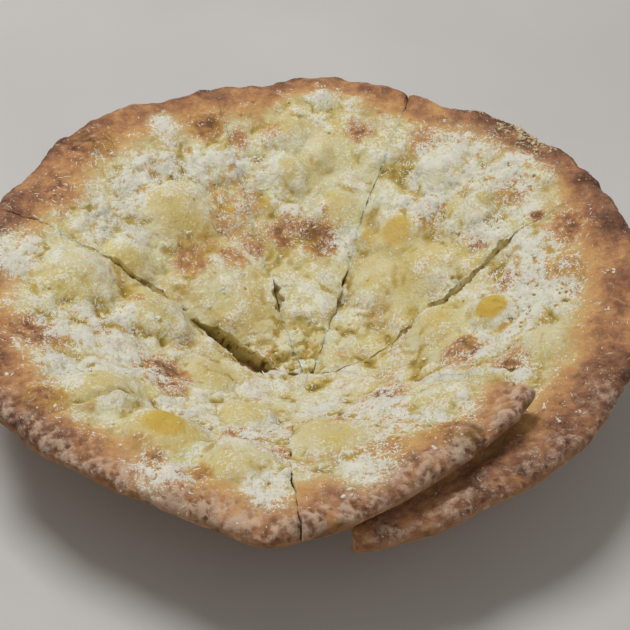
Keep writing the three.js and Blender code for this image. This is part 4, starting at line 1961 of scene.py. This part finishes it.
    def _bit_places(self, part: Slice, draw: DrawnNumbers) -> list[Span]:
        """Plan places of a slice's largest bits, as its solid has them.

        Args:
            part: The slice.
            draw: Its random numbers.

        Returns:
            One place for each bit.
        """
        rule = self.bit_rule
        chosen: list[Span] = []
        while len(chosen) < rule.per_slice:
            best, furthest = (0.0, 0.0), -1.0
            for _ in range(rule.tries):
                across = lerp(max(rule.margin, part.covered), 1.0 - rule.margin, draw.next())
                along = math.sqrt(lerp(rule.span_from**2, rule.span_to**2, draw.next()))
                rim = float(part.rim_distance(np.array([across]))[0])
                place = part.solid_place(rim * along, across)
                nearest = min((math.dist(place, other) for other in chosen), default=math.inf)
                if nearest > furthest:
                    best, furthest = place, nearest
            chosen.append(best)
        return chosen

    def _bits(self, parts: tuple[Slice, ...]) -> bpy.types.Object:
        """The largest bits of cheese, and the clumps along the back rim.

        Args:
            parts: The slices.

        Returns:
            The object.
        """
        rule, rng = self.bit_rule, np.random.default_rng(self.bits_seed)
        ball = bmesh.new()
        bmesh.ops.create_icosphere(ball, subdivisions=1, radius=1.0)
        shape = np.array([vert.co[:] for vert in ball.verts])
        faces = np.array([[vert.index for vert in face.verts] for face in ball.faces])
        ball.free()
        centres, radii = [], []
        for number, (part, bed) in enumerate(zip(parts, self.beds)):
            draw = DrawnNumbers(rule.seed + number)
            for x, y in self._bit_places(part, draw):
                radius = lerp(rule.least, rule.most, draw.next() ** 2)
                wide = lerp(*rule.width, draw.next())
                draw.next()  # the solid's bit is turned by this one
                centres.append((x, y, bed.height(x, y) - radius * rule.flatness * rule.sunk))
                radii.append((radius, radius * wide, radius * rule.flatness))
        for _ in range(self.rim_bits):
            bearing = rng.normal(*self.rim_bit_bearing)
            inset = abs(rng.normal(0.0, self.rim_bit_inset[1])) + self.rim_bit_inset[0]
            distance = float(DISH.edge(np.array([bearing]))[0]) - inset
            x, y = DISH.plan(math.radians(bearing), distance)
            radius = lerp(*self.rim_bit_radius, rng.random() ** 1.5)
            centres.append((x, y, self.beds[1].height(x, y) + 0.2 * radius))
            radii.append((radius, radius * lerp(0.6, 1.0, rng.random()), radius * 0.8))
        grains = []
        for centre, radius in np.repeat(np.stack([centres, radii], 1), self.lumps_per_bit, 0):
            lumpy = 1.0 + 0.4 * rng.normal(size=(len(shape), 1)).clip(-1.0, 1.0)
            turn = rng.random() * 2.0 * math.pi
            aside = rng.normal(0.0, 1.0, 3) * radius * np.array(self.lump_spread)
            sized = shape * lumpy * radius * lerp(*self.lump_size, rng.random(3))
            cosine, sine = math.cos(turn), math.sin(turn)
            spun = np.array([[cosine, sine, 0], [-sine, cosine, 0], [0, 0, 1]])
            grains.append(sized @ spun + centre + aside)
        tone = rng.random(len(grains))
        brown = np.zeros(len(grains))
        golden = self.rim_bits * self.lumps_per_bit
        tone[-golden:], brown[-golden:] = 1.0, self.rim_bit_brown
        return self._join("cheese_bits", np.array(grains), faces, tone, brown)


class Graph:
    """Short calls that add nodes to a new material."""

    def __init__(self, name: str) -> None:
        """Start a material with a Principled shader.

        Args:
            name: Name of the material.
        """
        self.material = bpy.data.materials.new(name)
        self.material.use_nodes = True
        self.tree = self.material.node_tree
        self.shader = self.tree.nodes["Principled BSDF"]
        self.place = self.tree.nodes.new("ShaderNodeTexCoord").outputs["Object"]

    def fill(self, node: bpy.types.Node, values: dict[str | int, Value]) -> None:
        """Link sockets to a node's inputs, or set the inputs to constants.

        Args:
            node: The node.
            values: A socket or a constant for each input.
        """
        for name, value in values.items():
            if isinstance(value, bpy.types.NodeSocket):
                self.tree.links.new(value, node.inputs[name])
            else:
                node.inputs[name].default_value = value

    def add(self, kind: str, output: str | int, values: dict[str | int, Value], **settings: str) -> Socket:
        """Add a node.

        Args:
            kind: Its type.
            output: Which of its outputs is used.
            values: A socket or a constant for each input.
            settings: Its options.

        Returns:
            The output.
        """
        node = self.tree.nodes.new(kind)
        for name, setting in settings.items():
            setattr(node, name, setting)
        self.fill(node, values)
        return node.outputs[output]

    def layer(self, layer: Layer) -> Socket:
        """What the vertices carry."""
        return self.add("ShaderNodeAttribute", "Fac", {}, attribute_name=layer.value)

    def noise(self, length: float, detail: float = 2.0) -> Socket:
        """Noise from 0 to 1 with bumps of a length in millimetres."""
        scale = 1.0 / (length * MM)
        return self.add("ShaderNodeTexNoise", "Fac", {"Vector": self.place, "Scale": scale, "Detail": detail})

    def streaks(self, length: float, width: float, directions: tuple[float, ...]) -> Socket:
        """Strands lying across each other.

        Args:
            length: Length of a strand, in millimetres.
            width: Width of a strand, in millimetres.
            directions: Bearings along which the strands lie, in degrees.

        Returns:
            A value from 0 to 1, high on the strands.
        """
        strands = []
        for direction in directions:
            turn = (0.0, 0.0, math.radians(direction))
            size = (length * MM, width * MM, width * MM)
            values = {"Vector": self.place, "Rotation": turn, "Scale": size}
            laid = self.add("ShaderNodeMapping", "Vector", values, vector_type="TEXTURE")
            values = {"Vector": laid, "Scale": 1.0, "Detail": 1.0}
            strands.append(self.add("ShaderNodeTexNoise", "Fac", values))
        return reduce(lambda first, second: self.math("MAXIMUM", first, second), strands)

    def math(self, operation: str, first: Value, second: Value) -> Socket:
        """One step of arithmetic."""
        return self.add("ShaderNodeMath", 0, {0: first, 1: second}, operation=operation)

    def times(self, first: Value, second: Value) -> Socket:
        """Product of two values."""
        return self.math("MULTIPLY", first, second)

    def sway(self, value: Socket, noise: Socket, amount: float) -> Socket:
        """A value pushed up and down by noise."""
        return self.math("ADD", value, self.times(self.math("SUBTRACT", noise, 0.5), amount))

    def span(self, value: Socket, low: float, high: float, start: float = 0.0, end: float = 1.0) -> Socket:
        """Soft step from start to end as a value goes from low to high."""
        values = {"Value": value, "From Min": low, "From Max": high, "To Min": start, "To Max": end}
        return self.add("ShaderNodeMapRange", "Result", values, interpolation_type="SMOOTHSTEP")

    def mix(self, share: Value, first: Value, second: Value) -> Socket:
        """Blend of two colours."""
        values = {"Factor": share, "A": first, "B": second}
        return self.add("ShaderNodeMix", "Result", values, data_type="RGBA")

    def ramp(self, value: Socket, stops: tuple[tuple[float, Colour], ...]) -> Socket:
        """Colours along a value.

        Args:
            value: From 0 to 1.
            stops: Places along it with their colours.

        Returns:
            The colour.
        """
        colour = self.add("ShaderNodeValToRGB", "Color", {"Fac": value})
        elements = colour.node.color_ramp.elements
        while len(elements) < len(stops):
            elements.new(0.5)
        for element, (position, shade) in zip(elements, stops):
            element.position = position
            element.color = shade
        return colour

    def bump(self, height: Socket, strength: float, depth: float, below: Socket | None = None) -> Socket:
        """Fine bumps of a depth in millimetres, over coarser ones."""
        values = {"Height": height, "Strength": strength, "Distance": depth * MM}
        return self.add("ShaderNodeBump", "Normal", values if below is None else {**values, "Normal": below})


@dataclass(frozen=True)
class BreadFinish:
    """Baked dough with melted cheese: brown rim, cream middle, yellow spots, floury underside, painted shade
    in hollows.
    """

    cream: Colour = srgb(234, 230, 194)
    butter: Colour = srgb(224, 214, 146)
    dust: Colour = srgb(241, 240, 220)
    white: Colour = srgb(250, 248, 236)
    yolk: Colour = srgb(222, 184, 62)
    # Colours of painted shade in creases, hollows and crumb holes; the crease yellow is partly the melted
    # cheese's own
    crease: Colour = srgb(192, 160, 54)
    hollow: Colour = srgb(118, 90, 24)
    pit_shade: Colour = srgb(70, 50, 30)
    crumb: Colour = srgb(206, 184, 104)
    flour: Colour = srgb(227, 201, 177)
    straw: Colour = srgb(212, 190, 136)
    tan: Colour = srgb(222, 178, 120)
    amber: Colour = srgb(202, 150, 104)
    brown: Colour = srgb(154, 108, 82)
    dark: Colour = srgb(102, 70, 56)
    pore: Colour = srgb(112, 72, 46)
    base: Colour = srgb(158, 114, 76)
    base_dark: Colour = srgb(104, 66, 42)
    strand_length: float = 2.8
    strand_width: float = 0.75
    strand_directions: tuple[float, ...] = (12.0, 58.0, 105.0, 149.0)
    grain_length: float = 1.3
    glow_radius: tuple[float, float, float] = (0.003, 0.0021, 0.001)  # how far light soaks in

    def make(self) -> bpy.types.Material:
        """Build the material."""
        graph = Graph("baked_bread")
        low, mid, fine, speck = graph.noise(14.0), graph.noise(4.5), graph.noise(1.5, 3.0), graph.noise(0.7)
        strands = graph.streaks(self.strand_length, self.strand_width, self.strand_directions)
        browning = graph.layer(Layer.TOAST)
        toast = graph.sway(graph.sway(browning, mid, 0.6), fine, 0.45)
        stops = ((0.0, self.straw), (0.2, self.tan), (0.45, self.amber), (0.72, self.brown), (1.0, self.dark))
        pores = graph.span(graph.sway(graph.noise(1.1), mid, 0.5), 0.58, 0.74, 0.0, 0.3)
        pores = graph.times(pores, graph.span(browning, 0.2, 0.5))
        crust = graph.mix(pores, graph.ramp(toast, stops), self.pore)
        film = graph.mix(graph.span(graph.sway(low, fine, 0.8), 0.35, 0.7), self.cream, self.butter)
        film = graph.mix(graph.span(graph.sway(speck, fine, 0.7), 0.52, 0.66, 0.0, 0.55), film, self.dust)
        cover = graph.span(graph.sway(graph.sway(graph.layer(Layer.COVER), fine, 0.9), mid, 0.5), 0.15, 0.85)
        colour = graph.mix(cover, crust, film)
        colour = graph.mix(graph.times(graph.layer(Layer.YOLK), 0.85), colour, self.yolk)
        flour = graph.sway(graph.sway(graph.layer(Layer.FLOUR), fine, 0.8), speck, 0.5)
        colour = graph.mix(graph.span(flour, 0.12, 0.7, 0.0, 0.75), colour, self.flour)
        # Painted shade: hollows turn crease yellow, then dark olive
        hollow = graph.layer(Layer.HOLLOW)
        colour = graph.mix(graph.span(hollow, 0.0, 0.5, 0.0, 0.8), colour, self.crease)
        colour = graph.mix(graph.span(hollow, 0.4, 1.0, 0.0, 0.85), colour, self.hollow)
        grains = graph.times(graph.noise(self.grain_length), 0.4)
        shreds = graph.math("ADD", graph.times(strands, 0.6), grains)
        laid = graph.math("ADD", shreds, graph.times(graph.layer(Layer.WHITE), 0.32))
        colour = graph.mix(graph.span(laid, 0.67, 0.75, 0.0, 0.88), colour, self.white)
        # Torn crumb with painted shade, darker towards its holes
        torn = graph.ramp(hollow, ((0.0, self.crumb), (0.6, self.hollow), (0.95, self.pit_shade)))
        colour = graph.mix(graph.layer(Layer.CRUMB), colour, torn)
        spotted = graph.span(graph.sway(graph.noise(9.0, 3.0), fine, 0.25), 0.5, 0.72)
        base = graph.mix(spotted, self.base, self.base_dark)
        base = graph.mix(graph.span(graph.noise(5.0, 4.0), 0.55, 0.8, 0.0, 0.6), base, self.flour)
        strewn = graph.bump(strands, 0.5, 0.8, graph.bump(graph.noise(1.6, 3.0), 0.7, 0.8))
        values = {
            "Base Color": graph.mix(graph.layer(Layer.UNDER), colour, base),
            "Roughness": graph.span(cover, 0.0, 1.0, 0.85, 0.6),
            "Specular IOR Level": 0.25,
            "Subsurface Weight": 0.7,
            "Subsurface Radius": self.glow_radius,
            "Subsurface Scale": 1.0,
            "Normal": graph.bump(speck, 0.5, 0.35, strewn),
        }
        graph.fill(graph.shader, values)
        return graph.material


@dataclass(frozen=True)
class CheeseFinish:
    """Dry grated cheese, white to cream, browned where the bread is."""

    white: Colour = srgb(250, 248, 236)
    cream: Colour = srgb(238, 228, 192)
    toasted: Colour = srgb(206, 156, 96)

    def make(self) -> bpy.types.Material:
        """Build the material."""
        graph = Graph("grated_cheese")
        fine = graph.noise(0.8)
        creamy = graph.span(graph.sway(graph.layer(Layer.TONE), fine, 0.3), 0.45, 1.0)
        brown = graph.span(graph.sway(graph.layer(Layer.TOAST), graph.noise(3.0), 0.6), 0.45, 0.95, 0.0, 0.6)
        values = {
            "Base Color": graph.mix(brown, graph.mix(creamy, self.white, self.cream), self.toasted),
            "Roughness": graph.span(fine, 0.3, 0.7, 0.5, 0.65),
            "Specular IOR Level": 0.2,
            "Normal": graph.bump(fine, 0.3, 0.2),
        }
        graph.fill(graph.shader, values)
        return graph.material


@dataclass(frozen=True)
class FloorFinish:
    """Plain pale matte floor."""

    pale: Colour = srgb(214, 213, 211)
    paler: Colour = srgb(220, 219, 217)

    def make(self) -> bpy.types.Material:
        """Build the material."""
        graph = Graph("pale_floor")
        colour = graph.mix(graph.span(graph.noise(160.0), 0.3, 0.7), self.pale, self.paler)
        graph.fill(graph.shader, {"Base Color": colour, "Roughness": 0.9})
        return graph.material


@dataclass(frozen=True)
class Lamp:
    """A soft square lamp that points at the bread."""

    name: str
    place: tuple[float, float, float]
    size: float
    power: float
    colour: tuple[float, float, float] = (1.0, 1.0, 1.0)


@dataclass
class Studio:
    """Floor, light and camera."""

    elevation: float = 42.05
    distance: float = 600.0
    target: tuple[float, float, float] = (4.53, -33.83, 60.0)
    focal_pixels: float = 1405.7
    image_width: float = 630.0
    sensor: float = 36.0
    floor_size: float = 12.0
    air: Colour = srgb(212, 207, 199)
    air_strength: float = 0.3
    lamps: tuple[Lamp, ...] = (
        Lamp("window", (-0.3, 0.3, 1.3), 0.5, 9.9, (1.0, 0.99, 0.975)),
        Lamp("fill", (0.5, -1.0, 1.0), 1.2, 2.0, (1.0, 0.985, 0.96)),
    )

    def build(self) -> None:
        """Make everything around the bread."""
        self._floor()
        self._light()
        self._camera()

    def _floor(self) -> None:
        """The surface that the bread rests on."""
        half = self.floor_size / 2.0
        mesh = bpy.data.meshes.new("floor")
        corners = [(-half, -half, 0.0), (half, -half, 0.0), (half, half, 0.0), (-half, half, 0.0)]
        mesh.from_pydata(corners, [], [(0, 1, 2, 3)])
        mesh.materials.append(FloorFinish().make())
        floor = bpy.data.objects.new("floor", mesh)
        bpy.context.scene.collection.objects.link(floor)

    def _light(self) -> None:
        """Soft lamps and even air light."""
        for lamp in self.lamps:
            light = bpy.data.lights.new(lamp.name, "AREA")
            light.size = lamp.size
            light.energy = lamp.power
            light.color = lamp.colour
            holder = bpy.data.objects.new(lamp.name, light)
            holder.location = lamp.place
            holder.rotation_euler = (-Vector(lamp.place)).to_track_quat("-Z", "Y").to_euler()
            bpy.context.scene.collection.objects.link(holder)
        world = bpy.data.worlds.new("studio")
        world.use_nodes = True
        background = world.node_tree.nodes["Background"]
        background.inputs["Color"].default_value = self.air
        background.inputs["Strength"].default_value = self.air_strength
        bpy.context.scene.world = world

    def _camera(self) -> None:
        """Camera at the photograph's angle."""
        target = Vector(DISH.to_part(np.array([self.target]))[0])
        angle = math.radians(self.elevation)
        away = Vector((0.0, -math.cos(angle), math.sin(angle)))
        camera = bpy.data.cameras.new("camera")
        camera.sensor_width = self.sensor
        camera.lens = self.sensor * self.focal_pixels / self.image_width
        camera.clip_start = 0.01
        holder = bpy.data.objects.new("camera", camera)
        holder.location = target + away * self.distance * MM
        holder.rotation_euler = (-away).to_track_quat("-Z", "Y").to_euler()
        bpy.context.scene.collection.objects.link(holder)
        bpy.context.scene.camera = holder


@dataclass
class Focaccia:
    """The whole bread: its slices and the loose cheese on them."""

    parts: tuple[Slice, ...] = SLICES

    def build(self) -> None:
        """Make and dress every piece."""
        bread = BreadFinish().make()
        cheese = CheeseFinish().make()
        beds = []
        for number, part in enumerate(self.parts):
            piece, bed = SliceBuilder(part, self._kin(number)).build(bread)
            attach(piece, BODY)
            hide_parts(part.name)
            self._report(piece, Slot.BREAD)
            beds.append(bed)
        for piece in LooseCheese(beds, cheese).make(self.parts):
            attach(piece, BODY)
            self._report(piece, Slot.CHEESE)

    def _kin(self, number: int) -> Kin:
        """Find a slice's neighbours.

        Args:
            number: The slice's number.

        Returns:
            Those that its marks run on to.
        """
        part = self.parts[number]
        family = (part,) if part.alone else tuple(one for one in self.parts if not one.alone)
        around = (self.parts[number - 1], self.parts[(number + 1) % len(self.parts)])
        before, after = (one if one in family else part for one in around)
        return Kin(before, after, family, number)

    @staticmethod
    def _report(piece: bpy.types.Object, slot: Slot) -> None:
        """Log a piece's name and triangle count."""
        LOG.info("%s: %d triangles", piece.name, len(piece.data.polygons))


def main() -> None:
    """Build the bread and its studio."""
    logging.basicConfig(level=logging.INFO, format="%(name)s: %(message)s")
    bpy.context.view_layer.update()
    Focaccia().build()
    Studio().build()
    bpy.context.scene.view_settings.view_transform = "Standard"


if __name__ == "__main__":
    main()
